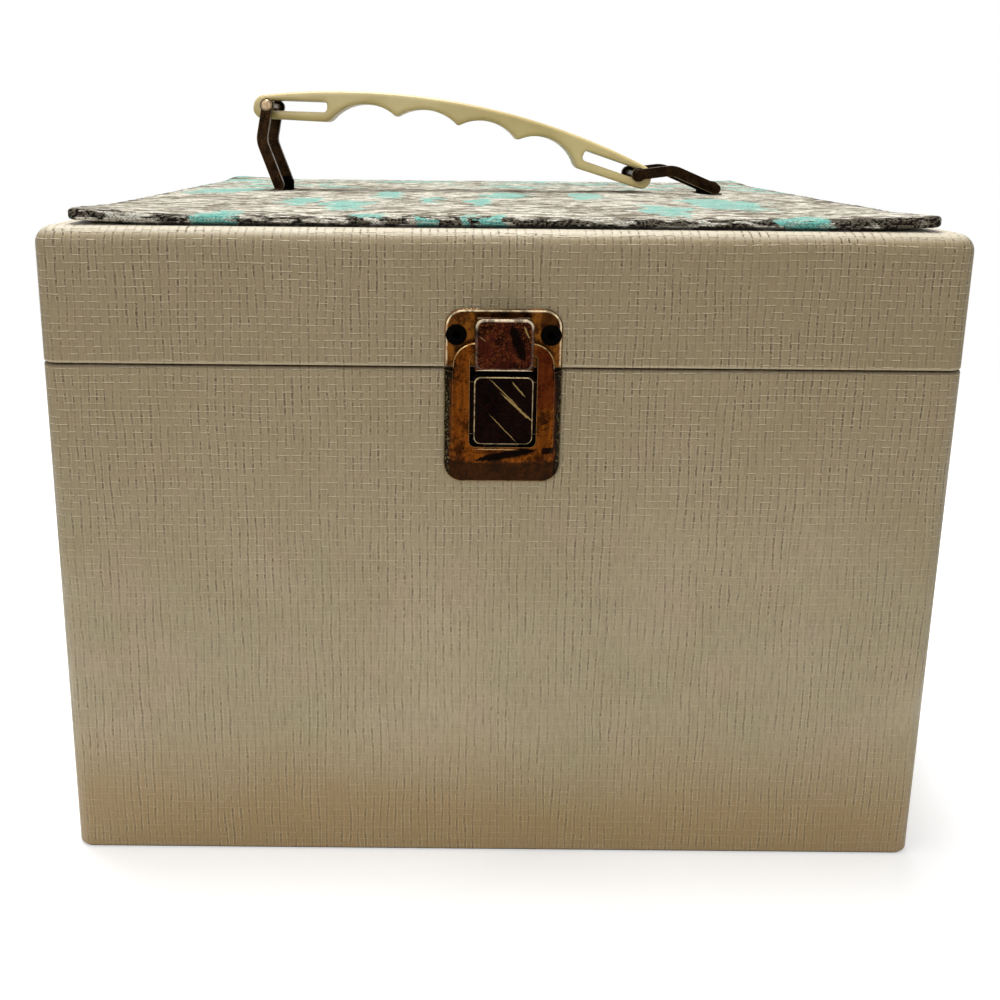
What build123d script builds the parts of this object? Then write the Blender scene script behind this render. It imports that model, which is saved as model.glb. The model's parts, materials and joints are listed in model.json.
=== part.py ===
from build123d import *
import math
import os

# A vinyl-covered sewing box with a hinged lid, a fabric pad on the lid, a swinging
# carrying handle, a front latch and a lift-out tray.
# Frame: origin at the middle of the base, +Z up, -Y is the front with the latch.

# Driving sizes of the box, in millimetres
box_width = 240.0
box_depth = 184.0
seam_height = 143.0
box_height = 178.5
seam_gap = 0.4
wall_corner = 5.2
lid_edge = 4.6
board = 4.5
vinyl = 0.7
lining = 0.8

# Driving sizes of the fabric pad on the lid
pad_width = 222.0
pad_depth = 175.0
pad_corner = 7.0
pad_board = 2.0
pad_crown = 4.1

# Driving sizes of the handle and its two bails
left_foot_x = -73.4
right_foot_x = 76.6
foot_pivot_z = 184.4
bail_reach = 26.9
left_lean = -7.0
right_rise = 9.8
bail_kink_along = 15.5
bail_kink_out = 3.6
bail_bend_radius = 7.0
bail_strip = 3.6
bail_thickness = 1.5
bail_arm_y = 9.0
bail_bar_radius = 1.25
bail_pin_radius = 1.1
bail_pin_head = 2.0
bail_eye_radius = 2.4
grip_thickness = 12.0
grip_crown = 13.0
grip_arc = 236.0
grip_end_reach = 5.5
grip_end_foot = -5.1
grip_upper_round = 4.1
grip_lower_round = 3.3
grip_heel = -1.7
grip_heel_round = 3.5
grip_slot_height = 3.6
grip_slot_corner = 1.3
grip_bar = 4.2
grip_edge = 1.2
grip_point_radius = 1.3
groove_end = 43.5
grip_points = [(21.4, 3.9), (0.4, 5.0), (-21.0, 4.1)]

# Driving sizes of the latch; depths are measured outwards from the front face
latch_half_width = 15.1
latch_above_seam = 15.7
latch_below_seam = 30.4
latch_corner = 4.8
latch_plate = 0.8
latch_face_depth = 3.4
latch_sheet = 0.9
latch_rim_depth = 1.1
arch_half_width = 13.0
arch_top = 7.4
arch_corner = 6.0
arch_foot = -23.6
tile_depth = 5.6
hasp_half_width = 7.4
hasp_pin_height = 12.2
hasp_pin_depth = 2.85
hasp_knuckle = 1.1
hasp_pin_radius = 0.6
button_half_width = 7.55

# Driving sizes of the two hinges at the back
hinge_spacing = 140.0
hinge_width = 26.0
hinge_leaf_height = 17.0
hinge_sheet = 0.9
hinge_axis_out = 2.2
hinge_knuckle = 2.0
hinge_pin_radius = 0.95
running_clearance = 0.05

# Driving sizes of the lift-out tray
tray_width = 222.0
tray_depth = 166.0
tray_bottom = 107.0
tray_top = 141.0
tray_wall = 2.0
tray_lip = 2.0
tray_back_row = 64.0
ledge_width = 5.0
ledge_height = 8.0

# Sizes worked out from the driving sizes
half_width = box_width / 2
half_depth = box_depth / 2
case_top = seam_height - seam_gap / 2
lid_bottom = seam_height + seam_gap / 2
board_half_width = half_width - vinyl
board_half_depth = half_depth - vinyl
inner_half_width = board_half_width - board
inner_half_depth = board_half_depth - board
clear_half_width = inner_half_width - lining
clear_half_depth = inner_half_depth - lining
lid_board_top = box_height - vinyl
lid_board_under = lid_board_top - board
lid_ceiling = lid_board_under - lining
hinge_axis_y = half_depth + hinge_axis_out


def block(x0, x1, y0, y1, z0, z1):
    """A box between two corners."""
    middle = Pos((x0 + x1) / 2, (y0 + y1) / 2, (z0 + z1) / 2)
    return middle * Box(x1 - x0, y1 - y0, z1 - z0)


def rounded_block(width, depth, z0, z1, radius):
    """An upright block with rounded vertical edges."""
    return Pos(0, 0, z0) * extrude(RectangleRounded(width, depth, radius), z1 - z0)


def rod_x(y, z, radius, x0, x1):
    """A round rod along X."""
    return Pos((x0 + x1) / 2, y, z) * Rot(0, 90, 0) * Cylinder(radius, abs(x1 - x0))


def rod_y(x, z, radius, y0, y1):
    """A round rod along Y."""
    return Pos(x, (y0 + y1) / 2, z) * Rot(90, 0, 0) * Cylinder(radius, abs(y1 - y0))


def slab(outline, y0, y1):
    """An outline drawn in X and Z, made solid between two depths."""
    return extrude(Plane.XZ.offset(-y1) * outline, y1 - y0)


def front_slab(outline, near, far):
    """An outline on the front face, made solid between two depths outwards from it."""
    return slab(outline, -half_depth - far, -half_depth - near)


def strip_between(start, end, width):
    """A flat strip with round ends from one point to another."""
    run = end[0] - start[0]
    rise = end[1] - start[1]
    middle = Pos((start[0] + end[0]) / 2, (start[1] + end[1]) / 2)
    turn = Rot(0, 0, math.degrees(math.atan2(rise, run)))
    return middle * turn * SlotCenterToCenter(math.hypot(run, rise), width)


def upright(x0, x1, z0, z1):
    """A plain rectangle in X and Z."""
    return Pos((x0 + x1) / 2, (z0 + z1) / 2) * Rectangle(x1 - x0, z1 - z0)


def softened_rectangle(x0, x1, z0, z1, top_radius, bottom_radius):
    """A rectangle in X and Z with one radius at its top corners and one at its bottom."""
    face = upright(x0, x1, z0, z1)
    if top_radius:
        face = fillet(face.vertices().sort_by(Axis.Y)[-2:], top_radius)
    if bottom_radius:
        face = fillet(face.vertices().sort_by(Axis.Y)[:2], bottom_radius)
    return face


# Places of the rivets that go through the walls, as X and Z
lid_latch_rivet_places = [(side * 12.1, seam_height + 8.9) for side in (-1, 1)]
case_latch_rivet_places = [(side * 8.6, seam_height - 22.4) for side in (-1, 1)]
hinge_places = [-hinge_spacing / 2, hinge_spacing / 2]
hinge_rivet_reach = 11.5
case_hinge_rivet_places = [
    (x + side * 8.0, seam_height - hinge_rivet_reach) for x in hinge_places for side in (-1, 1)
]
lid_hinge_rivet_places = [
    (x + side * 8.0, seam_height + hinge_rivet_reach) for x in hinge_places for side in (-1, 1)
]
rivet_shank = 1.4
rivet_head = 2.7
rivet_head_height = 0.7
rivet_tail = 2.2
rivet_tail_height = 0.5


def rivet(x, z, side, sheet, hollow):
    """A rivet through a wall; side is -1 at the front and 1 at the back."""
    seat = side * (half_depth + sheet)
    crown = seat + side * rivet_head_height
    inside = side * clear_half_depth
    head = rod_y(x, z, rivet_head, seat, crown)
    outer_rim = head.edges().sort_by(Axis.Y)[0 if side < 0 else -1]
    head = fillet(outer_rim, 0.5)
    shank = rod_y(x, z, rivet_shank, inside, seat)
    tail = rod_y(x, z, rivet_tail, inside - side * rivet_tail_height, inside)
    body = head + shank + tail
    if hollow:
        body = body - rod_y(x, z, 1.0, crown, crown - side * 3.0)
    return body


def drill(body, places, side):
    """Cut the rivet holes through one layer of the front or back wall."""
    for x, z in places:
        body = body - rod_y(x, z, rivet_shank, side * (half_depth - 9), side * (half_depth + 9))
    return body


def drill_all(body):
    """Cut every rivet hole that crosses this layer."""
    body = drill(body, lid_latch_rivet_places + case_latch_rivet_places, -1)
    return drill(body, lid_hinge_rivet_places + case_hinge_rivet_places, 1)


# Prongs of the handle's foot clips, which go down through the lid
foot_places = [left_foot_x, right_foot_x]
prong_y = 3.6
prong_half_x = 1.5
prong_half_y = 0.6
foot_seat_z = box_height + 3.1
washer_thickness = 0.8


def prongs(x):
    """The two prongs of one foot clip, as one shape that also cuts their slots."""
    low = lid_ceiling - washer_thickness - 0.3
    pair = None
    for y in (-prong_y, prong_y):
        prong = block(
            x - prong_half_x, x + prong_half_x, y - prong_half_y, y + prong_half_y, low, foot_seat_z
        )
        pair = prong if pair is None else pair + prong
    return pair


def slot_for_feet(body):
    """Cut the slots for all prongs through one layer of the lid."""
    for x in foot_places:
        body = body - prongs(x)
    return body


def case_envelope():
    """The space that the case's boards fill, with its rounded corners."""
    return rounded_block(
        2 * board_half_width, 2 * board_half_depth, vinyl, case_top - vinyl, wall_corner - vinyl
    )


def lid_envelope():
    """The space that the lid's boards fill, with its rounded corners and top edges."""
    body = rounded_block(
        2 * board_half_width, 2 * board_half_depth, lid_bottom + vinyl, lid_board_top, wall_corner - vinyl
    )
    return fillet(body.edges().group_by(Axis.Z)[-1], lid_edge - vinyl)


def wall_panels(envelope, z0, z1):
    """Front, back, left and right boards cut from an envelope."""
    front = block(-half_width, half_width, -half_depth, -inner_half_depth, z0, z1)
    back = block(-half_width, half_width, inner_half_depth, half_depth, z0, z1)
    left = block(-half_width, -inner_half_width, -inner_half_depth, inner_half_depth, z0, z1)
    right = block(inner_half_width, half_width, -inner_half_depth, inner_half_depth, z0, z1)
    shapes = {"front": front, "back": back, "left": left, "right": right}
    return {name: drill_all(envelope & shape) for name, shape in shapes.items()}


def make_case():
    """The boards, covering and lining of the case."""
    envelope = case_envelope()
    board_top = case_top - vinyl
    panels = wall_panels(envelope, vinyl, board_top)
    nodes = {"case_" + name + "_panel": body for name, body in panels.items()}
    nodes["case_bottom_panel"] = block(
        -inner_half_width, inner_half_width, -inner_half_depth, inner_half_depth, vinyl, vinyl + board
    )
    skin = rounded_block(box_width, box_depth, vinyl, case_top, wall_corner)
    skin = fillet(skin.edges().group_by(Axis.Z)[-1], 0.5)
    mouth = block(
        -inner_half_width, inner_half_width, -inner_half_depth, inner_half_depth, vinyl, case_top + 1
    )
    nodes["case_vinyl_cover"] = drill_all(skin - envelope - mouth)
    nodes["case_base_sheet"] = rounded_block(box_width - 1.0, box_depth - 1.0, 0, vinyl, wall_corner - 0.5)
    lined = block(
        -inner_half_width, inner_half_width, -inner_half_depth, inner_half_depth, vinyl + board, board_top
    )
    room = block(
        -clear_half_width, clear_half_width, -clear_half_depth, clear_half_depth,
        vinyl + board + lining, case_top + 1
    )
    nodes["case_lining"] = drill_all(lined - room)
    return nodes


def make_lid():
    """The boards, covering and lining of the lid."""
    envelope = lid_envelope()
    panels = wall_panels(envelope, lid_bottom + vinyl, lid_board_under)
    nodes = {"lid_" + name + "_panel": body for name, body in panels.items()}
    top = block(-half_width, half_width, -half_depth, half_depth, lid_board_under, lid_board_top)
    nodes["lid_top_panel"] = slot_for_feet(envelope & top)
    skin = rounded_block(box_width, box_depth, lid_bottom, box_height, wall_corner)
    skin = fillet(skin.edges().group_by(Axis.Z)[-1], lid_edge)
    skin = fillet(skin.edges().group_by(Axis.Z)[0], 0.5)
    mouth = block(
        -inner_half_width, inner_half_width, -inner_half_depth, inner_half_depth,
        lid_bottom - 1, lid_board_under
    )
    nodes["lid_vinyl_cover"] = slot_for_feet(drill_all(skin - envelope - mouth))
    lined = block(
        -inner_half_width, inner_half_width, -inner_half_depth, inner_half_depth,
        lid_bottom + vinyl, lid_board_under
    )
    room = block(
        -clear_half_width, clear_half_width, -clear_half_depth, clear_half_depth, lid_bottom - 1, lid_ceiling
    )
    nodes["lid_lining"] = slot_for_feet(drill_all(lined - room))
    return nodes


def make_pad():
    """The fabric-covered pad on the lid: a thin board and a crowned cloth cover round it."""
    core = rounded_block(
        pad_width - 4, pad_depth - 4, box_height, box_height + pad_board, pad_corner - 2
    )
    levels = [(0.0, 0.5, 6.5), (0.36, 0.0, 7.0), (0.67, 0.8, 7.0), (0.83, 4.0, 8.0), (0.94, 17.0, 12.0)]
    levels.append((1.0, 52.0, 16.0))
    sections = [
        Pos(0, 0, box_height + share * pad_crown)
        * RectangleRounded(pad_width - 2 * inset, pad_depth - 2 * inset, corner)
        for share, inset, corner in levels
    ]
    cover = loft(sections, ruled=True) - core
    for x in foot_places:
        cover = cover - foot_outline_solid(x)
    return {"pad_board": slot_for_feet(core), "pad_fabric": slot_for_feet(cover)}


foot_half_length = 5.5
foot_half_width = 3.6
foot_arch = 2.45


def foot_outline_solid(x):
    """The outside of one foot clip: an arch over the bail's bar on a small flange."""
    arch = Pos(x, foot_pivot_z) * Circle(foot_arch)
    legs = upright(x - foot_arch, x + foot_arch, foot_seat_z, foot_pivot_z)
    flange = upright(x - foot_half_width, x + foot_half_width, foot_seat_z, foot_seat_z + 0.9)
    return slab(arch + legs + flange, -foot_half_length, foot_half_length)


def make_feet():
    """The two clips that hold the bails and the washers that they are clinched to."""
    nodes = {}
    for name, x in (("left", left_foot_x), ("right", right_foot_x)):
        hole_radius = bail_bar_radius + running_clearance
        hole = rod_y(x, foot_pivot_z, hole_radius, -foot_half_length - 1, foot_half_length + 1)
        nodes[name + "_foot_clip"] = foot_outline_solid(x) + prongs(x) - hole
        washer = Pos(x, 0, lid_ceiling - washer_thickness) * extrude(
            RectangleRounded(12.0, 16.0, 2.0), washer_thickness
        )
        nodes[name + "_foot_washer"] = washer - prongs(x)
    return nodes


def left_pin_place():
    """The left handle pin at rest, as X and Z."""
    lean = math.radians(left_lean)
    return (left_foot_x + bail_reach * math.sin(lean), foot_pivot_z + bail_reach * math.cos(lean))


def right_pin_place():
    """The right handle pin at rest, as X and Z."""
    rise = math.radians(right_rise)
    return (right_foot_x - bail_reach * math.cos(rise), foot_pivot_z + bail_reach * math.sin(rise))


def make_bail(foot_x, pin, outward):
    """A kinked wire stirrup; outward is 1 where its kink lies anticlockwise of its reach."""
    foot = (foot_x, foot_pivot_z)
    along = ((pin[0] - foot[0]) / bail_reach, (pin[1] - foot[1]) / bail_reach)
    across = (-along[1] * outward, along[0] * outward)
    kink = tuple(
        foot[i] + along[i] * bail_kink_along + across[i] * bail_kink_out for i in (0, 1)
    )
    bent_line = FilletPolyline(foot, kink, pin, radius=bail_bend_radius)
    side_view = trace(bent_line, bail_strip) + Pos(*foot) * Circle(bail_strip / 2)
    side_view = side_view + Pos(*pin) * Circle(bail_eye_radius)
    side_view = side_view - Pos(*pin) * Circle(bail_pin_radius)
    inner = bail_arm_y - bail_thickness / 2
    outer = bail_arm_y + bail_thickness / 2
    arms = slab(side_view, -outer, -inner) + slab(side_view, inner, outer)
    return arms + rod_y(foot_x, foot_pivot_z, bail_bar_radius, -inner, inner)


def make_bail_pin(pin):
    """The pin through a bail's two arms, with a rounded head at each end."""
    outer = bail_arm_y + bail_thickness / 2
    body = rod_y(pin[0], pin[1], bail_pin_radius, -outer, outer)
    for side in (-1, 1):
        head = rod_y(pin[0], pin[1], bail_pin_head, side * outer, side * (outer + 1.1))
        rim = head.edges().sort_by(Axis.Y)[0 if side < 0 else -1]
        body = body + fillet(rim, 0.7)
    return body


def grip_top(u):
    """Height of the grip's top edge above the line through its pins."""
    return grip_crown - grip_arc + math.sqrt(grip_arc**2 - u**2)


def grip_outline(pin_half_span):
    """The grip seen from the front: an arched bar with finger grooves and rounded ends."""
    end = pin_half_span + grip_end_reach
    shoulder = (end, grip_top(end))
    foot = (end, grip_end_foot)
    heel = (groove_end, grip_heel)
    points = [heel] + grip_points + [(-groove_end, grip_heel)]
    edges = [
        ThreePointArc((-end, shoulder[1]), (0, grip_crown), shoulder),
        Line(shoulder, foot),
        Line(foot, heel),
    ]
    for start, stop in zip(points[:-1], points[1:]):
        middle = (start[0] + stop[0]) / 2
        edges.append(ThreePointArc(start, (middle, grip_top(middle) - grip_bar), stop))
    edges.append(Line((-groove_end, grip_heel), (-end, grip_end_foot)))
    edges.append(Line((-end, grip_end_foot), (-end, shoulder[1])))
    face = make_face(edges)
    for radius, is_here in (
        (grip_upper_round, lambda v: abs(v.X) > end - 0.1 and v.Y > 0),
        (grip_lower_round, lambda v: abs(v.X) > end - 0.1 and v.Y < grip_end_foot + 0.1),
        (grip_heel_round, lambda v: abs(abs(v.X) - groove_end) < 0.1 and v.Y < 0),
        (grip_point_radius, lambda v: abs(v.X) < groove_end - 5),
    ):
        face = fillet(face.vertices().filter_by(is_here), radius)
    return face


def slanted_slot(start, end):
    """One of the grip's slots, from its outer end to its inner end, with softened corners."""
    length = math.hypot(end[0] - start[0], end[1] - start[1])
    middle = Pos((start[0] + end[0]) / 2, (start[1] + end[1]) / 2)
    turn = Rot(0, 0, math.degrees(math.atan((end[1] - start[1]) / (end[0] - start[0]))))
    return middle * turn * RectangleRounded(length, grip_slot_height, grip_slot_corner)


def make_grip():
    """The moulded handle grip, laid between the two pins at rest."""
    left = left_pin_place()
    right = right_pin_place()
    span = math.hypot(right[0] - left[0], right[1] - left[1])
    slope = math.degrees(math.atan2(right[1] - left[1], right[0] - left[0]))
    bar = slab(grip_outline(span / 2), -grip_thickness / 2, grip_thickness / 2)
    rims = bar.edges().filter_by(lambda e: abs(abs(e.center().Y) - grip_thickness / 2) < 0.01)
    bar = fillet(rims, grip_edge)
    for side in (-1, 1):
        pin_end = (side * (span / 2 + grip_slot_height / 2), 0.0)
        slot = slanted_slot(pin_end, (side * 44.8, 3.2))
        cutter = slab(slot, -grip_thickness, grip_thickness)
        bar = bar - cutter
    middle = Pos((left[0] + right[0]) / 2, 0, (left[1] + right[1]) / 2)
    return middle * Rot(0, -slope, 0) * bar


def make_handle():
    """The grip, the two bails and their pins."""
    left = left_pin_place()
    right = right_pin_place()
    return {
        "handle_grip": make_grip(),
        "left_bail": make_bail(left_foot_x, left, 1),
        "left_bail_pin": make_bail_pin(left),
        "right_bail": make_bail(right_foot_x, right, -1),
        "right_bail_pin": make_bail_pin(right),
    }


def latch_z(height):
    """A height measured from the seam."""
    return seam_height + height


def make_latch_upper():
    """The latch plate on the lid, with the lugs that carry the hasp's pin."""
    outline = softened_rectangle(
        -latch_half_width, latch_half_width, lid_bottom, latch_z(latch_above_seam), latch_corner, 0
    )
    plate = front_slab(outline, 0, latch_plate)
    plate = chamfer(plate.faces().sort_by(Axis.Y)[0].edges(), 0.35)
    pin_z = latch_z(hasp_pin_height)
    pin_y = -half_depth - hasp_pin_depth
    for side in (-1, 1):
        x0, x1 = sorted((side * 3.3, side * 6.6))
        lug = rod_x(pin_y, pin_z, hasp_knuckle, x0, x1)
        lug = lug + block(x0, x1, pin_y, -half_depth - 0.4, pin_z - hasp_knuckle, pin_z + hasp_knuckle)
        plate = plate + (lug - rod_x(pin_y, pin_z, hasp_pin_radius, x0, x1))
    rivets = [rivet(x, z, -1, latch_plate, True) for x, z in lid_latch_rivet_places]
    return {
        "latch_upper_plate": drill(plate, lid_latch_rivet_places, -1),
        "hasp_pin": rod_x(pin_y, pin_z, hasp_pin_radius, -6.6, 6.6),
        "latch_upper_rivets": Compound(children=rivets),
    }


def make_hasp():
    """The hinged tongue over the latch's window."""
    outline = softened_rectangle(-hasp_half_width, hasp_half_width, latch_z(0.6), latch_z(14.0), 1.8, 0.4)
    tile = front_slab(outline, 4.0, tile_depth)
    tile = fillet(tile.faces().sort_by(Axis.Y)[0].edges(), 0.35)
    pin_z = latch_z(hasp_pin_height)
    pin_y = -half_depth - hasp_pin_depth
    knuckle = rod_x(pin_y, pin_z, hasp_knuckle, -3.0, 3.0)
    web = block(-3.0, 3.0, -half_depth - 4.4, pin_y, pin_z - hasp_knuckle, pin_z + 0.9)
    bore = rod_x(pin_y, pin_z, hasp_pin_radius + running_clearance, -4.0, 4.0)
    return {"latch_hasp": tile + knuckle + web - bore}


chamber_foot = -24.9
spring_turns = 3
spring_top = -17.2
spring_half_width = 4.5
spring_strip = 0.6


def front_plane(depth):
    """The plane that lies a stated depth outwards from the front face."""
    return Plane.XZ.offset(half_depth + depth)


def make_latch_lower():
    """The latch housing on the case: a base plate, a pressed cover, a spring and rivets."""
    outline = softened_rectangle(
        -latch_half_width, latch_half_width, latch_z(-latch_below_seam), case_top, 0, latch_corner
    )
    base = front_slab(outline, 0, vinyl)
    inner = softened_rectangle(
        -arch_half_width, arch_half_width, latch_z(arch_foot), case_top, 0, latch_corner
    )
    rim = front_slab(outline, vinyl, latch_rim_depth)
    slopes = loft([front_plane(latch_rim_depth) * outline, front_plane(latch_face_depth) * inner])
    arch = softened_rectangle(
        -arch_half_width, arch_half_width, latch_z(arch_foot), latch_z(arch_top), arch_corner, latch_corner
    )
    arch_solid = front_slab(arch, latch_face_depth - latch_sheet, latch_face_depth)
    arch_solid = fillet(arch_solid.faces().sort_by(Axis.Y)[0].edges(), 0.3)
    cover = rim + slopes + arch_solid
    chamber = upright(-11.2, 11.2, latch_z(chamber_foot), latch_z(2.0))
    cover = cover - front_slab(chamber, vinyl, latch_face_depth - latch_sheet)
    window = softened_rectangle(-8.6, 8.6, latch_z(-20.2), latch_z(4.3), 1.4, 1.6)
    cover = cover - front_slab(window, 0, latch_face_depth + 1)
    rivets = [rivet_case_latch(x, z) for x, z in case_latch_rivet_places]
    return {
        "latch_base_plate": drill(base, case_latch_rivet_places, -1),
        "latch_cover_plate": cover,
        "latch_case_rivets": Compound(children=rivets),
        "latch_spring": make_latch_spring(),
    }


def rivet_case_latch(x, z):
    """A flat-headed rivet that holds the base plate, hidden under the cover."""
    seat = -half_depth - vinyl
    head = rod_y(x, z, 2.1, seat - 0.6, seat)
    shank = rod_y(x, z, rivet_shank, seat, -clear_half_depth)
    tail = rod_y(x, z, rivet_tail, -clear_half_depth, -clear_half_depth + rivet_tail_height)
    return head + shank + tail


def make_latch_spring():
    """A flat zigzag spring under the slide button."""
    first = spring_top - spring_strip / 2
    last = chamber_foot + spring_strip / 2
    step = (first - last) / (2 * spring_turns)
    points = []
    for index in range(2 * spring_turns + 1):
        side = -1 if index % 2 else 1
        points.append((side * spring_half_width, latch_z(first - index * step)))
    face = None
    for start, end in zip(points[:-1], points[1:]):
        strip = strip_between(start, end, spring_strip)
        face = strip if face is None else face + strip
    return front_slab(face, 1.0, 2.2)


def make_slide_button():
    """The button that slides down in the latch's window, with its neck and flange."""
    tile_outline = softened_rectangle(
        -button_half_width, button_half_width, latch_z(-18.7), latch_z(-0.8), 0.5, 1.9
    )
    tile = front_slab(tile_outline, latch_face_depth + 0.1, tile_depth)
    tile = fillet(tile.faces().sort_by(Axis.Y)[0].edges(), 0.5)
    neck = front_slab(upright(-5.0, 5.0, latch_z(-15.0), latch_z(-5.0)), 2.0, latch_face_depth + 0.2)
    flange = front_slab(upright(-9.8, 9.8, latch_z(-17.0), latch_z(-3.0)), 1.0, 2.3)
    return {"latch_slide_button": tile + neck + flange}


def hinge_leaf(x, up):
    """One leaf of a hinge; up is 1 on the lid and -1 on the case."""
    half = hinge_width / 2
    third = hinge_width / 3
    axis_z = seam_height
    gap = 0.2
    clear = hinge_knuckle + 0.3
    z0, z1 = sorted((axis_z + up * clear, axis_z + up * hinge_leaf_height))
    outline = Pos(x, (z0 + z1) / 2) * Rectangle(hinge_width, z1 - z0)
    far_corners = outline.vertices().sort_by(Axis.Y)[-2:] if up > 0 else outline.vertices().sort_by(Axis.Y)[:2]
    outline = fillet(far_corners, 4.0)
    leaf = slab(outline, half_depth, half_depth + hinge_sheet)
    if up > 0:
        spans = [(x - third / 2 + gap, x + third / 2 - gap)]
        bore_radius = hinge_pin_radius + running_clearance
    else:
        spans = [(x - half, x - third / 2 - gap), (x + third / 2 + gap, x + half)]
        bore_radius = hinge_pin_radius
    for x0, x1 in spans:
        z_low, z_high = sorted((axis_z, axis_z + up * (clear + 0.5)))
        bend = block(x0, x1, half_depth + 0.1, half_depth + hinge_sheet + 0.35, z_low, z_high)
        knuckle = rod_x(hinge_axis_y, axis_z, hinge_knuckle, x0, x1)
        bore = rod_x(hinge_axis_y, axis_z, bore_radius, x0 - 0.1, x1 + 0.1)
        leaf = leaf + bend + knuckle - bore
    return leaf


def make_hinges():
    """Two hinges on the outside of the back, with their pins and rivets."""
    nodes = {}
    for name, x in zip(("left", "right"), hinge_places):
        lid_leaf = hinge_leaf(x, 1)
        case_leaf = hinge_leaf(x, -1)
        nodes[name + "_hinge_lid_leaf"] = drill(lid_leaf, lid_hinge_rivet_places, 1)
        nodes[name + "_hinge_case_leaf"] = drill(case_leaf, case_hinge_rivet_places, 1)
        half = hinge_width / 2
        nodes[name + "_hinge_pin"] = rod_x(hinge_axis_y, seam_height, hinge_pin_radius, x - half, x + half)
    lid_rivets = [rivet(x, z, 1, hinge_sheet, False) for x, z in lid_hinge_rivet_places]
    case_rivets = [rivet(x, z, 1, hinge_sheet, False) for x, z in case_hinge_rivet_places]
    nodes["hinge_lid_rivets"] = Compound(children=lid_rivets)
    nodes["hinge_case_rivets"] = Compound(children=case_rivets)
    return nodes


def tray_pockets():
    """The tray's compartments, as low and high X and Y."""
    half_x = tray_width / 2 - tray_lip - tray_wall
    half_y = tray_depth / 2 - tray_lip - tray_wall
    divider_y = half_y - tray_back_row
    back = [(-half_x, 24.0), (24.0 + tray_wall, half_x)]
    front = [(-half_x, -37.0), (-37.0 + tray_wall, 35.0), (35.0 + tray_wall, half_x)]
    pockets = [(x0, x1, divider_y, half_y) for x0, x1 in back]
    return pockets + [(x0, x1, -half_y, divider_y - tray_wall) for x0, x1 in front]


def make_tray():
    """The lift-out tray with its compartments, and the two ledges that it rests on."""
    tub = rounded_block(
        tray_width - 2 * tray_lip, tray_depth - 2 * tray_lip, tray_bottom, tray_top, 6.0
    )
    lip = rounded_block(tray_width, tray_depth, tray_top - tray_wall, tray_top, 8.0)
    tray = tub + lip
    for x0, x1, y0, y1 in tray_pockets():
        pocket = extrude(RectangleRounded(x1 - x0, y1 - y0, 4.0), tray_top - tray_bottom)
        tray = tray - Pos((x0 + x1) / 2, (y0 + y1) / 2, tray_bottom + tray_wall) * pocket
    nodes = {"lift_out_tray": tray}
    for name, side in (("left", -1), ("right", 1)):
        x0, x1 = sorted((side * clear_half_width, side * (clear_half_width - ledge_width)))
        nodes[name + "_tray_ledge"] = block(
            x0, x1, -clear_half_depth + 4, clear_half_depth - 4, tray_bottom - ledge_height, tray_bottom
        )
    return nodes


def report_linkage():
    """Print how far the right pin wanders in its slot as the handle is raised."""
    left = left_pin_place()
    right = right_pin_place()
    span = math.hypot(right[0] - left[0], right[1] - left[1])
    slope = math.degrees(math.atan2(right[1] - left[1], right[0] - left[0]))
    raised_lean = math.degrees(math.asin((right_foot_x - left_foot_x - span) / 2 / bail_reach))
    left_turn = raised_lean - left_lean
    right_turn = 90 - raised_lean - right_rise
    print("right turn", round(right_turn, 3), "left turn", round(left_turn, 3))
    print("left ratio", round(left_turn / right_turn, 5))
    print("grip ratio", round((slope - left_turn) / right_turn, 5))
    for step in range(9):
        part = step / 8
        lean = math.radians(left_lean + left_turn * part)
        rise = math.radians(right_rise + right_turn * part)
        tilt = math.radians(slope * (1 - part))
        x0 = left_foot_x + bail_reach * math.sin(lean)
        z0 = foot_pivot_z + bail_reach * math.cos(lean)
        dx = right_foot_x - bail_reach * math.cos(rise) - x0
        dz = foot_pivot_z + bail_reach * math.sin(rise) - z0
        along = dx * math.cos(tilt) + dz * math.sin(tilt) - span
        across = dz * math.cos(tilt) - dx * math.sin(tilt)
        print("step", step, "along", round(along, 2), "across", round(across, 2))


def build_all():
    """Every node of the sewing box."""
    nodes = {}
    makers = (
        make_case, make_lid, make_pad, make_feet, make_handle, make_latch_upper, make_hasp,
        make_latch_lower, make_slide_button, make_hinges, make_tray,
    )
    for maker in makers:
        nodes.update(maker())
    return nodes


os.makedirs("parts", exist_ok=True)
report_linkage()
for node_name, node_body in build_all().items():
    export_step(node_body, "parts/" + node_name + ".step")
    print(node_name, "volume", round(node_body.volume, 1))
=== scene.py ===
# %% [markdown]
# # A vinyl-covered sewing box with a tweed pad on its lid
# The box is a set of fibreboard walls wrapped in embossed vinyl, with an antique-brass latch,
# a moulded handle on two kinked bails, and a lift-out tray inside. The construction is already
# modelled at its real size. This lesson dresses it: each surface gets a finish that is worked out
# from formulas, and the soft pad is modelled again as cloth, because cloth never looks right as
# a plain solid.

# %% Load the construction
import json
import math
from collections import namedtuple

import bmesh
import bpy
from mathutils import Matrix, Vector, noise


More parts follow.
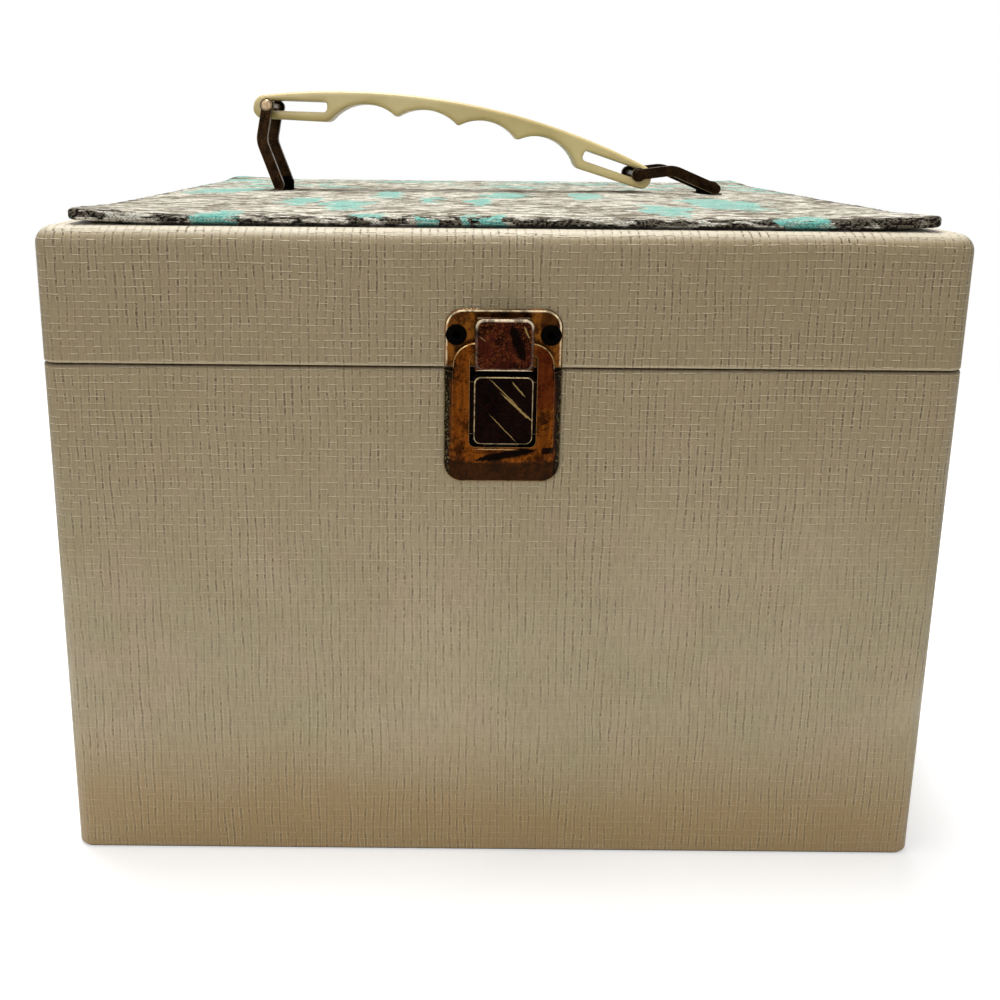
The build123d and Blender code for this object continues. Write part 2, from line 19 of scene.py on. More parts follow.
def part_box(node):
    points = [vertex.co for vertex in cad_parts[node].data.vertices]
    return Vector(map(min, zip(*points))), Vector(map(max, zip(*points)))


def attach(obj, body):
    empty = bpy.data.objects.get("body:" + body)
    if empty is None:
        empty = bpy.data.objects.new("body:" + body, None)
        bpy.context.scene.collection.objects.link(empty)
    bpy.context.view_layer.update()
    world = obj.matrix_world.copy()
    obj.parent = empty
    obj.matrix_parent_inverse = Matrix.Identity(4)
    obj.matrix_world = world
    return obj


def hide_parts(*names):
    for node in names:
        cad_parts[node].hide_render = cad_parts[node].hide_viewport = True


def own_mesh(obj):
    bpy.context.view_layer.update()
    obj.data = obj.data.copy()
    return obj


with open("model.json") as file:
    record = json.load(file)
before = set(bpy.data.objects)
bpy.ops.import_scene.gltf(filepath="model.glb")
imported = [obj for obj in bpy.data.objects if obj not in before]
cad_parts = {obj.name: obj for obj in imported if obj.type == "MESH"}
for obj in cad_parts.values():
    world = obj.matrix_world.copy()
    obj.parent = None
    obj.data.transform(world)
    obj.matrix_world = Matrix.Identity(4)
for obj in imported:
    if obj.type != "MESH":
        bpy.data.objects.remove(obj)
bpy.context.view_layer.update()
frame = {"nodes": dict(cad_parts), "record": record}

nodes = frame["nodes"]
MM = 0.001

# %% [markdown]
# ## A short hand for shader nodes
# A procedural finish is a graph of small steps: coordinates, noises, sums and ramps. Written out
# in full, every step takes four lines, so a thin helper gives each common step one short name.
# Nothing here changes what the nodes do. A ramp called smooth turns one range of a value into
# another with soft ends, a band is high between two places, and over lays a colour on another.

# %% Shader helper
class Graph:
    """Adds nodes to one tree and links them; its steps return an output socket."""

    def __init__(self, tree):
        self.tree = tree

    def feed(self, socket, value):
        if isinstance(value, bpy.types.NodeSocket):
            self.tree.links.new(value, socket)
        else:
            socket.default_value = value

    def node(self, kind, feeds=(), **settings):
        made = self.tree.nodes.new(kind)
        for name, value in settings.items():
            setattr(made, name, value)
        for key, value in dict(feeds).items():
            self.feed(made.inputs[key], value)
        return made

    def group(self, tree, feeds):
        made = self.node("ShaderNodeGroup")
        made.node_tree = tree
        for key, value in feeds.items():
            self.feed(made.inputs[key], value)
        return made.outputs

    def math(self, operation, a, b=0.0):
        return self.node("ShaderNodeMath", {0: a, 1: b}, operation=operation).outputs[0]

    def plus(self, a, b):
        return self.math("ADD", a, b)

    def minus(self, a, b):
        return self.math("SUBTRACT", a, b)

    def times(self, a, b):
        return self.math("MULTIPLY", a, b)

    def share(self, a, b):
        return self.math("DIVIDE", a, b)

    def size(self, a):
        return self.math("ABSOLUTE", a)

    def smooth(self, value, low, high, out_low=0.0, out_high=1.0):
        feeds = {0: value, 1: low, 2: high, 3: out_low, 4: out_high}
        return self.node("ShaderNodeMapRange", feeds, interpolation_type="SMOOTHSTEP").outputs[0]

    def band(self, value, low, rise, fall, high):
        return self.times(self.smooth(value, low, rise), self.smooth(value, high, fall))

    def vector(self, x, y, z=0.0):
        return self.node("ShaderNodeCombineXYZ", {0: x, 1: y, 2: z}).outputs[0]

    def parts(self, vector):
        return self.node("ShaderNodeSeparateXYZ", {0: vector}).outputs

    def length(self, vector):
        made = self.node("ShaderNodeVectorMath", {0: vector}, operation="LENGTH")
        return made.outputs["Value"]

    def noise(self, vector, scale, detail=2.0, roughness=0.5):
        feeds = {"Vector": vector, "Scale": scale, "Detail": detail, "Roughness": roughness}
        return self.node("ShaderNodeTexNoise", feeds).outputs["Fac"]

    def stretched(self, vector, size, detail=2.0, roughness=0.5):
        """Noise whose grain has its own size along each axis, in metres."""
        feeds = {"Vector": vector, "Scale": tuple(1.0 / s for s in size)}
        return self.noise(self.node("ShaderNodeMapping", feeds).outputs[0], 1.0, detail, roughness)

    def mix(self, share, a, b):
        made = self.node("ShaderNodeMix", data_type="RGBA")
        for index, value in ((0, share), (6, a), (7, b)):
            self.feed(made.inputs[index], value)
        return made.outputs[2]

    def over(self, tone, mask, strength, added):
        """Lay a second colour over a first one where a mask is high."""
        return self.mix(self.times(mask, strength), tone, added)


print("shader steps:", ", ".join(name for name in vars(Graph) if not name.startswith("_")))

# %% [markdown]
# ## Colours, groups and materials
# A colour picked by eye is a number from 0 to 255, but shaders add up light, so each level is
# turned into its linear value first. A group is a piece of graph that several materials share. A
# material here is always one Principled shader with its own coordinates, and all the relief that
# is too fine to model goes through one Bump node.

# %% Colours, groups and materials
FLOAT = "NodeSocketFloat"
VECTOR = "NodeSocketVector"


def colour(red, green, blue):
    """A colour as the eye names it, from 0 to 255, in the linear values that shaders use."""
    def linear(level):
        share = level / 255
        return share / 12.92 if share <= 0.04045 else ((share + 0.055) / 1.055) ** 2.4

    return (linear(red), linear(green), linear(blue), 1.0)


def new_group(name, inputs, outputs):
    """An empty shader node group with named inputs and outputs."""
    tree = bpy.data.node_groups.new(name, "ShaderNodeTree")
    for label, kind in inputs:
        tree.interface.new_socket(label, in_out="INPUT", socket_type=kind)
    for label, kind in outputs:
        tree.interface.new_socket(label, in_out="OUTPUT", socket_type=kind)
    source = tree.nodes.new("NodeGroupInput").outputs
    target = tree.nodes.new("NodeGroupOutput").inputs
    return tree, Graph(tree), source, target


def new_material(name, roughness, metallic=0.0):
    """A material with one Principled shader, with its graph, shader and coordinates."""
    material = bpy.data.materials.new(name)
    material.use_nodes = True
    graph = Graph(material.node_tree)
    shader = material.node_tree.nodes["Principled BSDF"]
    shader.inputs["Roughness"].default_value = roughness
    shader.inputs["Metallic"].default_value = metallic
    place = graph.node("ShaderNodeTexCoord").outputs
    return material, graph, shader, place


def bump(graph, shader, height, distance, strength=1.0, normal=None):
    """Feed a height into the shader's normal through a Bump node; distance is in metres."""
    feeds = {"Height": height, "Distance": distance, "Strength": strength}
    made = graph.node("ShaderNodeBump", feeds)
    if normal is not None:
        graph.feed(made.inputs["Normal"], normal)
    graph.feed(shader.inputs["Normal"], made.outputs[0])


print("a middle grey of 128 is", round(colour(128, 128, 128)[0], 3), "in linear light")

# %% [markdown]
# ## Which way a wall's pattern runs
# The vinyl is one sheet wrapped round the walls, so its weave runs level on every side. It could
# be unwrapped by hand, but the walls are flat, so the piece's own coordinates do the same job:
# across is X on the front and back, and Y on the sides. The piece's own normal says which wall
# a point is on, and on top the pattern lies flat.

# %% Wall coordinates
TOP_FACING = 0.72


def wall_coordinates():
    """A group that gives a point's level and upright coordinate on its wall, in metres."""
    tree, graph, source, target = new_group(
        "wall_coordinates", [("Place", VECTOR), ("Facing", VECTOR)], [("Across", FLOAT), ("Up", FLOAT)]
    )
    place = graph.parts(source["Place"])
    facing = [graph.size(part) for part in graph.parts(source["Facing"])]
    top = graph.math("GREATER_THAN", facing[2], TOP_FACING)
    side = graph.times(graph.math("GREATER_THAN", facing[0], facing[1]), graph.minus(1.0, top))
    across = graph.plus(place[0], graph.times(side, graph.minus(place[1], place[0])))
    up = graph.plus(place[2], graph.times(top, graph.minus(place[1], place[2])))
    graph.feed(target["Across"], across)
    graph.feed(target["Up"], up)
    return tree


WALL = wall_coordinates()
print("wall coordinates take", len(WALL.nodes), "nodes")

# %% [markdown]
# ## The grooves of the embossed vinyl
# The roller that embossed this vinyl copied a loose basket weave: upright threads with dark,
# broken grooves between them. Each thread is one column. How far a point is from the edge of
# its column makes the groove, and noises bend the columns, fray the groove's sides and leave
# some stretches out, so that no two columns are alike.

# %% Broken grooves
THREAD = 2.20 * MM
DRIFT = 2.4 * MM
WOBBLE = 0.5 * MM
GROOVE_RUN = 2.6 * MM


def thread_columns(graph, flat, across):
    """Number each upright thread, and say where across it a point is."""
    drift = graph.stretched(flat, (0.012, 0.030, 1.0), 2.0)
    wobble = graph.stretched(flat, (0.003, 0.006, 1.0), 1.0)
    shift = graph.plus(graph.times(drift, DRIFT), graph.times(wobble, WOBBLE))
    thread = graph.share(graph.plus(across, shift), THREAD)
    column = graph.math("FLOOR", thread)
    inside = graph.minus(thread, column)
    edge = graph.math("MINIMUM", inside, graph.minus(1.0, inside))
    return column, inside, edge


def broken_grooves(graph, flat, up, column, edge):
    """The dark groove between two threads, and the pale shoulder beside it: a painted highlight that also
    stands for worn high points.
    """
    ragged = graph.stretched(flat, (0.0010, 0.00062, 1.0), 2.0, 0.75)
    width = graph.smooth(ragged, 0.42, 0.56, -0.06, 0.14)
    open_side = graph.smooth(edge, graph.times(width, 0.3), graph.plus(width, 0.03))
    groove = graph.times(graph.minus(1.0, open_side), graph.smooth(width, -0.03, 0.02))
    per_column = graph.vector(graph.times(column, 0.37), graph.share(up, GROOVE_RUN))
    kept = graph.smooth(graph.noise(per_column, 1.0, 3.0, 0.7), 0.40, 0.60, 0.10, 1.0)
    area = graph.smooth(graph.stretched(flat, (0.016, 0.026, 1.0), 2.0), 0.36, 0.60, 0.45, 1.0)
    strength = graph.times(kept, area)
    # The shoulder mask places a painted highlight beside the groove, which also stands for worn high
    # points.
    shoulder = graph.band(edge, 0.10, 0.17, 0.20, 0.33)
    return graph.times(groove, strength), graph.times(shoulder, strength)


# %% [markdown]
# ## The level ridges and the whole weave
# Short ridges, painted bright as a highlight, cross every other thread, staggered row by row like bricks,
# with a thin dip below each. Row and column numbers together say which threads a ridge crosses. One group
# then puts grooves, ridges, thread swell and fine grain into one height, and gives masks for the colour
# too: the grooves, which also carry a painted shadow under each ridge, a painted highlight on the ridges,
# the streaks, and the pale shoulders, which stand for a painted highlight and worn high points.

# %% Embossed weave group
ROW = 1.95 * MM
LEAN = 2.4 * MM
TREMBLE = 0.35 * MM


def staggered_ridges(graph, flat, up, column, edge, dashes):
    """Level ridges over every other thread, each with a dip below it."""
    lean = graph.times(graph.stretched(flat, (0.050, 0.024, 1.0), 1.0), LEAN)
    tremble = graph.times(graph.stretched(flat, (0.0025, 0.0040, 1.0), 1.0), TREMBLE)
    row = graph.share(graph.plus(up, graph.plus(lean, tremble)), ROW)
    line = graph.math("FLOOR", row)
    level = graph.minus(row, line)
    parity = graph.math("FLOORED_MODULO", graph.plus(column, line), 2.0)
    toward = graph.minus(1.0, graph.times(parity, 2.0))
    from_middle = graph.plus(0.5, graph.times(edge, toward))
    reach = graph.smooth(graph.noise(graph.vector(column, line), 3.1, 0.0), 0.3, 0.7, 0.50, 0.86)
    span = graph.smooth(from_middle, graph.plus(reach, 0.06), reach)
    fade = graph.smooth(graph.stretched(flat, (0.006, 0.004, 1.0), 2.0), 0.36, 0.60, 0.15, 1.0)
    here = graph.times(graph.times(span, fade), dashes)
    ridge = graph.smooth(graph.size(graph.minus(level, 0.56)), 0.08, 0.02)
    dip = graph.smooth(graph.size(graph.minus(level, 0.43)), 0.07, 0.02)
    return graph.times(ridge, here), graph.times(dip, here)


def embossed_weave():
    """The vinyl's relief as one height, with a mask for each of its marks."""
    tree, graph, source, target = new_group(
        "embossed_weave",
        [("Across", FLOAT), ("Up", FLOAT), ("Dashes", FLOAT)],
        [(name, FLOAT) for name in ("Height", "GrooveAndRidgeShadow", "RidgeHighlight", "Streaks", "Shoulder")],
    )
    across, up = source["Across"], source["Up"]
    flat = graph.vector(across, up)
    column, inside, edge = thread_columns(graph, flat, across)
    groove, shoulder = broken_grooves(graph, flat, up, column, edge)
    ridge, dip = staggered_ridges(graph, flat, up, column, edge, source["Dashes"])
    grain = graph.stretched(flat, (0.0005, 0.0012, 1.0), 3.0, 0.65)
    streaks = graph.stretched(flat, (0.00055, 0.0075, 1.0), 3.0, 0.6)
    folds = graph.size(graph.minus(graph.stretched(flat, (0.0016, 0.0024, 1.0), 2.0), 0.5))
    crinkle = graph.smooth(folds, 0.0, 0.05)
    swell = graph.math("SINE", graph.times(inside, math.pi))
    height = 0.0
    for part, rise in (
        (swell, 0.10), (grain, 0.34), (streaks, 0.42), (crinkle, 0.10),
        (groove, -0.60), (ridge, 0.26), (dip, -0.14),
    ):
        height = graph.plus(height, graph.times(part, rise))
    graph.feed(target["Height"], height)
    # The dip below each ridge joins the groove mask as a painted shadow under the ridge.
    graph.feed(target["GrooveAndRidgeShadow"], graph.math("MAXIMUM", groove, graph.times(dip, 0.45)))
    # The ridge mask places a painted highlight on the ridge tops.
    graph.feed(target["RidgeHighlight"], ridge)
    graph.feed(target["Streaks"], graph.smooth(streaks, 0.56, 0.36))
    graph.feed(target["Shoulder"], shoulder)
    return tree


WEAVE = embossed_weave()
print("the weave takes", len(WEAVE.nodes), "nodes; rows are", round(ROW / MM, 2), "mm apart")

# %% [markdown]
# ## Vinyl with fifty years of handling
# Off-white vinyl goes khaki with age. It does so unevenly: a faint pink and a faint green cast in
# patches, yellow soil near the foot, and darker grooves. Painted shade darkens the upper wall and the
# lid's front, and a painted highlight lightens the lid's rounded top edge. The colours differ by only a
# few percent, which is what keeps a large pale wall from looking like painted plastic. Each layer is laid
# over the last with its own mask, from broad to fine.

# %% Vinyl tones
SEAM = (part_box("case_vinyl_cover")[1].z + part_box("lid_vinyl_cover")[0].z) / 2
LID_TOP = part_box("lid_vinyl_cover")[1].z


def aged_and_shaded_tone(graph, spot, high):
    """The broad colour of the vinyl: clouds, casts, and painted shade over the upper half and the lid's
    front.
    """
    clouds = graph.smooth(graph.noise(spot, 16.0, 3.0), 0.38, 0.66)
    blush = graph.smooth(graph.noise(spot, 46.0, 3.0, 0.6), 0.50, 0.68)
    green = graph.smooth(graph.noise(spot, 58.0, 3.0, 0.6), 0.54, 0.70)
    upper = graph.smooth(high, 60 * MM, SEAM - 3 * MM)
    painted_lid_front_shade = graph.band(high, SEAM - 0.2 * MM, SEAM + 0.2 * MM, LID_TOP - 8.5 * MM, LID_TOP - 1.0 * MM)
    fibres = graph.stretched(spot, (0.0009, 0.0009, 0.0034), 3.0, 0.7)
    tone = graph.mix(clouds, colour(157, 143, 112), colour(147, 134, 102))
    tone = graph.over(tone, blush, 0.40, colour(160, 138, 115))
    tone = graph.over(tone, green, 0.32, colour(142, 138, 102))
    # Painted shade: the upper wall and the lid are darker, and the lid's front a little more.
    tone = graph.over(tone, upper, 0.70, colour(138, 121, 87))
    tone = graph.over(tone, painted_lid_front_shade, 0.10, colour(118, 100, 70))
    return graph.mix(graph.smooth(fibres, 0.50, 0.30, 0.0, 0.30), tone, colour(112, 97, 72))


def soil_and_highlight_tone(graph, spot, high, tone):
    """Fine tooth, yellow soil near the foot and a painted highlight on the lid's top edge."""
    tooth = graph.smooth(graph.noise(spot, 2400.0, 2.0, 0.6), 0.58, 0.42)
    soil_edge = graph.plus(high, graph.times(graph.noise(spot, 30.0, 3.0), 26 * MM))
    soil = graph.smooth(soil_edge, 56 * MM, 22 * MM)
    painted_top_highlight = graph.smooth(high, LID_TOP - 2.7 * MM, LID_TOP)
    tone = graph.over(tone, tooth, 0.14, colour(104, 88, 60))
    tone = graph.over(tone, soil, 0.70, colour(128, 99, 48))
    # Painted highlight on the lid's rounded top edge.
    return graph.over(tone, painted_top_highlight, 0.70, colour(206, 198, 180))


def seam_tone(graph, high, tone):
    """A pale lip on the lid's lower edge, and a dark line of painted shade in the seam below it."""
    lip = graph.band(high, SEAM, SEAM + 0.3 * MM, SEAM + 0.6 * MM, SEAM + 1.1 * MM)
    shade = graph.band(high, SEAM - 1.2 * MM, SEAM - 0.4 * MM, SEAM - 0.1 * MM, SEAM + 0.1 * MM)
    tone = graph.over(tone, lip, 0.55, colour(196, 180, 146))
    return graph.over(tone, shade, 0.70, colour(74, 58, 38))


print("seam at", round(SEAM / MM, 1), "mm, lid top at", round(LID_TOP / MM, 1), "mm")

# %% [markdown]
# ## The vinyl put together
# The weave's masks go between the broad tones and the last lines: streaks first, then the pale shoulders,
# a painted highlight that also stands for worn high points, then the darker grooves, darker towards the
# top, which carry a painted shadow under each ridge, then the painted highlight on the ridges. The ridges
# fade out towards the foot, where the embossing is shallow. One bump gives the weave its height.

# %% Vinyl material
def vinyl_material():
    """Old embossed vinyl, from its broad tone to the dirt in its grooves."""
    material, graph, shader, place = new_material("aged_embossed_vinyl", roughness=0.52)
    spot = place["Object"]
    high = graph.parts(spot)[2]
    wall = graph.group(WALL, {"Place": spot, "Facing": place["Normal"]})
    dashes = graph.smooth(high, 60 * MM, SEAM - 1 * MM, 0.22, 1.0)
    weave = graph.group(WEAVE, {"Across": wall["Across"], "Up": wall["Up"], "Dashes": dashes})
    tone = aged_and_shaded_tone(graph, spot, high)
    tone = graph.over(tone, weave["Streaks"], 0.32, colour(110, 96, 70))
    tone = soil_and_highlight_tone(graph, spot, high, tone)
    groove_darkening = graph.smooth(high, 40 * MM, SEAM - 1 * MM, 0.55, 0.88)
    # Pale shoulders: a painted highlight beside the grooves, and worn high points.
    tone = graph.over(tone, weave["Shoulder"], 0.38, colour(178, 164, 132))
    # Darker grooves, darker towards the top, with the painted shadow under each ridge.
    tone = graph.over(tone, weave["GrooveAndRidgeShadow"], groove_darkening, colour(70, 46, 16))
    # Painted highlight on the ridge tops.
    tone = graph.over(tone, weave["RidgeHighlight"], 0.80, colour(208, 194, 160))
    graph.feed(shader.inputs["Base Color"], seam_tone(graph, high, tone))
    dull = graph.smooth(graph.noise(spot, 60.0, 2.0), 0.3, 0.7, 0.44, 0.60)
    graph.feed(shader.inputs["Roughness"], dull)
    bump(graph, shader, weave["Height"], 0.34 * MM)
    return material


VINYL = vinyl_material()
print("vinyl nodes", len(VINYL.node_tree.nodes))

# %% [markdown]
# ## Worn edges on small metal parts
# Antique finish on latches is a dark lacquer over brass, and it rubs off first on the edges. The
# Bevel node gives the normal that a softly rounded edge would have; where it leans away from
# the true normal, the point is near an edge. The same group serves each metal part, with its
# own width.

# %% Edge wear group
def edge_wear():
    """A mask that is high along edges, broken up by noise."""
    tree, graph, source, target = new_group(
        "edge_wear", [("Place", VECTOR), ("Reach", FLOAT), ("Amount", FLOAT)], [("Edge", FLOAT)]
    )
    soft = graph.node("ShaderNodeBevel", {"Radius": source["Reach"]}, samples=8).outputs[0]
    true = graph.node("ShaderNodeNewGeometry").outputs["True Normal"]
    feeds = {0: soft, 1: true}
    same = graph.node("ShaderNodeVectorMath", feeds, operation="DOT_PRODUCT").outputs["Value"]
    rough = graph.noise(source["Place"], 900.0, 3.0, 0.6)
    uneven = graph.times(graph.minus(rough, 0.5), 0.05)
    worn = graph.smooth(graph.plus(graph.minus(1.0, same), uneven), 0.015, 0.09)
    graph.feed(target["Edge"], graph.times(worn, source["Amount"]))
    return tree


EDGE = edge_wear()
print("edge wear takes", len(EDGE.nodes), "nodes")

# %% [markdown]
# ## Marks placed one by one on the latch
# An old latch is told apart by its marks: long scratches down to the brass, soot-dark stains and painted
# highlights along the edges of the pressed plates. Random noise never gives such marks, so three small
# functions put them where they are wanted. They read places as a maker would measure them, in millimetres
# from the middle of the latch and above the seam between lid and case.

# %% Marks on the latch
Scratch = namedtuple("Scratch", "start end width tone share")
Stain = namedtuple("Stain", "middle reach tone share")
RimHighlight = namedtuple("RimHighlight", "half_width low high corner inset width lowest side", defaults=(-99.0, 0.55))


def scratch_mask(graph, spot, mark):
    """A scratch that runs between two places and thins out towards its ends."""
    run, rise = mark.end[0] - mark.start[0], mark.end[1] - mark.start[1]
    length = math.hypot(run, rise)
    place = graph.parts(spot)
    x = graph.minus(place[0], mark.start[0] * MM)
    z = graph.minus(place[2], SEAM + mark.start[1] * MM)
    along = graph.plus(graph.times(x, run / length), graph.times(z, rise / length))
    across = graph.minus(graph.times(x, rise / length), graph.times(z, run / length))
    uneven = graph.minus(graph.noise(spot, 700.0, 4.0, 0.7), 0.5)
    ragged = graph.times(uneven, (0.4 + 1.1 * mark.width) * MM)
    across = graph.size(graph.plus(across, ragged))
    taper = graph.band(along, 0.0, 0.35 * length * MM, 0.7 * length * MM, length * MM)
    thick = graph.smooth(taper, 0.0, 1.0, 0.0, mark.width * MM)
    line = graph.smooth(across, thick, graph.times(thick, 0.5))
    return graph.times(line, graph.smooth(taper, 0.0, 0.1))


def rim_highlight_mask(graph, spot, rim):
    """A painted highlight just inside a rounded rectangle, stronger along its level edges."""
    place = graph.parts(spot)
    middle, half_height = SEAM + (rim.low + rim.high) / 2 * MM, (rim.high - rim.low) / 2
    above_middle = graph.minus(place[2], middle)
    out_x = graph.minus(graph.size(place[0]), (rim.half_width - rim.corner) * MM)
    out_z = graph.minus(graph.size(above_middle), (half_height - rim.corner) * MM)
    outside = graph.vector(graph.math("MAXIMUM", out_x, 0.0), graph.math("MAXIMUM", out_z, 0.0))
    within = graph.math("MINIMUM", graph.math("MAXIMUM", out_x, out_z), 0.0)
    depth = graph.minus(rim.corner * MM, graph.plus(graph.length(outside), within))
    worn = graph.smooth(graph.noise(spot, 420.0, 3.0, 0.6), 0.38, 0.56, 0.30, 1.0)
    line = graph.band(
        depth, (rim.inset - 0.1) * MM, (rim.inset + 0.1) * MM,
        (rim.inset + 0.5 * rim.width) * MM, (rim.inset + rim.width) * MM,
    )
    above = graph.smooth(place[2], SEAM + (rim.lowest - 0.6) * MM, SEAM + (rim.lowest + 0.6) * MM)
    level = graph.smooth(above_middle, 0.45 * half_height * MM, 0.95 * half_height * MM, rim.side, 1.0)
    return graph.times(line, graph.times(graph.times(worn, above), level))


def patch_mask(graph, spot, middle, reach):
    """A soft-edged area round a middle, with its half width and half height."""
    place = graph.parts(spot)
    x = graph.size(graph.share(graph.minus(place[0], middle[0] * MM), reach[0] * MM))
    z = graph.size(graph.share(graph.minus(place[2], SEAM + middle[1] * MM), reach[1] * MM))
    ragged = graph.times(graph.minus(graph.noise(spot, 480.0, 3.0, 0.6), 0.5), 0.7)
    return graph.smooth(graph.plus(graph.math("MAXIMUM", x, z), ragged), 1.05, 0.80)


print("kinds of marks:", Scratch.__name__, Stain.__name__, RimHighlight.__name__)

# %% [markdown]
# ## Lacquered brass
# One recipe gives every metal part here: a base colour, dark stains that run down in streaks, fine
# specks, placed marks, worn edges and painted highlights along chosen edges. The parts differ only in
# their four tones and in their marks, as they do on the bench, where all come out of one bath. Metal
# shines less evenly than its colour suggests, so roughness gets its own noise.

# %% Metal material
Tones = namedtuple("Tones", "base stain bright speck")
# The pale tone of the painted glints.
SIDE_GLINT = colour(120, 108, 76)


def metal_tone(graph, spot, tones, speck_share, stains, glints):
    """The lacquer: base, streaked stains, placed stains, specks and painted glints."""
    cloud = graph.smooth(graph.noise(spot, 230.0, 5.0, 0.68), 0.46, 0.62)
    run_down = graph.smooth(graph.stretched(spot, (0.0012, 0.0012, 0.0075), 3.0, 0.6), 0.42, 0.62)
    tone = graph.mix(graph.times(cloud, 0.85), tones.base, tones.stain)
    tone = graph.over(tone, run_down, 0.45, tones.stain)
    for stain in stains:
        mask = patch_mask(graph, spot, stain.middle, stain.reach)
        tone = graph.over(tone, mask, stain.share, stain.tone)
    specks = graph.smooth(graph.noise(spot, 1900.0, 3.0, 0.7), 0.50, 0.62)
    speckled = graph.smooth(graph.noise(spot, 240.0, 2.0), 0.36, 0.58)
    tone = graph.over(tone, graph.times(specks, speckled), speck_share, tones.speck)
    # Painted glints: pale grains laid over each listed patch.
    for middle, reach in glints:
        grains = graph.smooth(graph.noise(spot, 1500.0, 2.0, 0.7), 0.53, 0.60)
        mask = graph.times(patch_mask(graph, spot, middle, reach), grains)
        tone = graph.over(tone, mask, 0.75, SIDE_GLINT)
    return tone


def metal_material(
    name, tones, speck_share, roughness, wear, reach,
    stains=(), scratches=(), rim_highlights=(), glints=(), metallic=1.0,
):
    """Lacquered metal with placed marks and painted edge highlights; wear is the edges' share, reach
    their width in mm.
    """
    material, graph, shader, place = new_material(name, roughness, metallic)
    spot = place["Object"]
    tone = metal_tone(graph, spot, tones, speck_share, stains, glints)
    for mark in scratches:
        tone = graph.over(tone, scratch_mask(graph, spot, mark), mark.share, mark.tone)
    edge = graph.group(EDGE, {"Place": spot, "Reach": reach * MM, "Amount": wear})["Edge"]
    # The placed edge lines are painted highlights; together with the worn edges they take the bright
    # tone.
    for rim in rim_highlights:
        edge = graph.math("MAXIMUM", edge, rim_highlight_mask(graph, spot, rim))
    graph.feed(shader.inputs["Base Color"], graph.mix(edge, tone, tones.bright))
    dull = graph.noise(spot, 500.0, 3.0)
    dull = graph.smooth(dull, 0.3, 0.7, roughness - 0.08, roughness + 0.16)
    graph.feed(shader.inputs["Roughness"], dull)
    shader.inputs["Specular IOR Level"].default_value = 0.5 * metallic
    bump(graph, shader, graph.noise(spot, 900.0, 3.0, 0.6), 0.06 * MM, 0.6)
    return material


print("tones of a metal:", ", ".join(Tones._fields))

# %% [markdown]
# ## Plain metals
# The pins, the bails, the rivets and the foot clips are small and show no single mark that the
# eye could name. So each is only a set of four tones with its own gloss: base, stain, worn
# edge and speck. The blackened steel is so dull that it is treated as a dark paint.

# %% Plain metals
STEEL = metal_material(
    "dull_pin_steel",
    Tones(colour(84, 76, 62), colour(48, 42, 34), colour(176, 166, 146), colour(46, 40, 32)),
    speck_share=0.3, roughness=0.34, wear=0.4, reach=0.3,
)
BAIL = metal_material(
    "dark_bronze",
    Tones(colour(38, 25, 14), colour(12, 8, 6), colour(140, 122, 88), colour(74, 50, 26)),
    speck_share=0.4, roughness=0.32, wear=0.45, reach=0.3,
)
PIN = metal_material(
    "worn_pin",
    Tones(colour(150, 130, 104), colour(84, 66, 46), colour(206, 192, 166), colour(56, 40, 28)),
    speck_share=0.5, roughness=0.30, wear=0.3, reach=0.25,
)
BLACKENED = metal_material(
    "blackened_steel",
    Tones(colour(10, 8, 7), colour(6, 5, 4), colour(34, 27, 20), colour(18, 13, 10)),
    speck_share=0.3, roughness=0.7, wear=0.0, reach=0.2, metallic=0.0,
)
print("plain metals:", ", ".join(made.name for made in (STEEL, BAIL, PIN, BLACKENED)))

# %% [markdown]
# ## The brass plates of the latch
# The upper plate on the lid and the housing on the case are the same brass, darkened by age. The housing
# carries the story: a long soot mark under the window, a darker foot, dark sides with painted glints on
# them, a painted highlight on the window's lower lip, and painted highlights along the edges of the
# raised part and of the plate. Each mark is one entry.

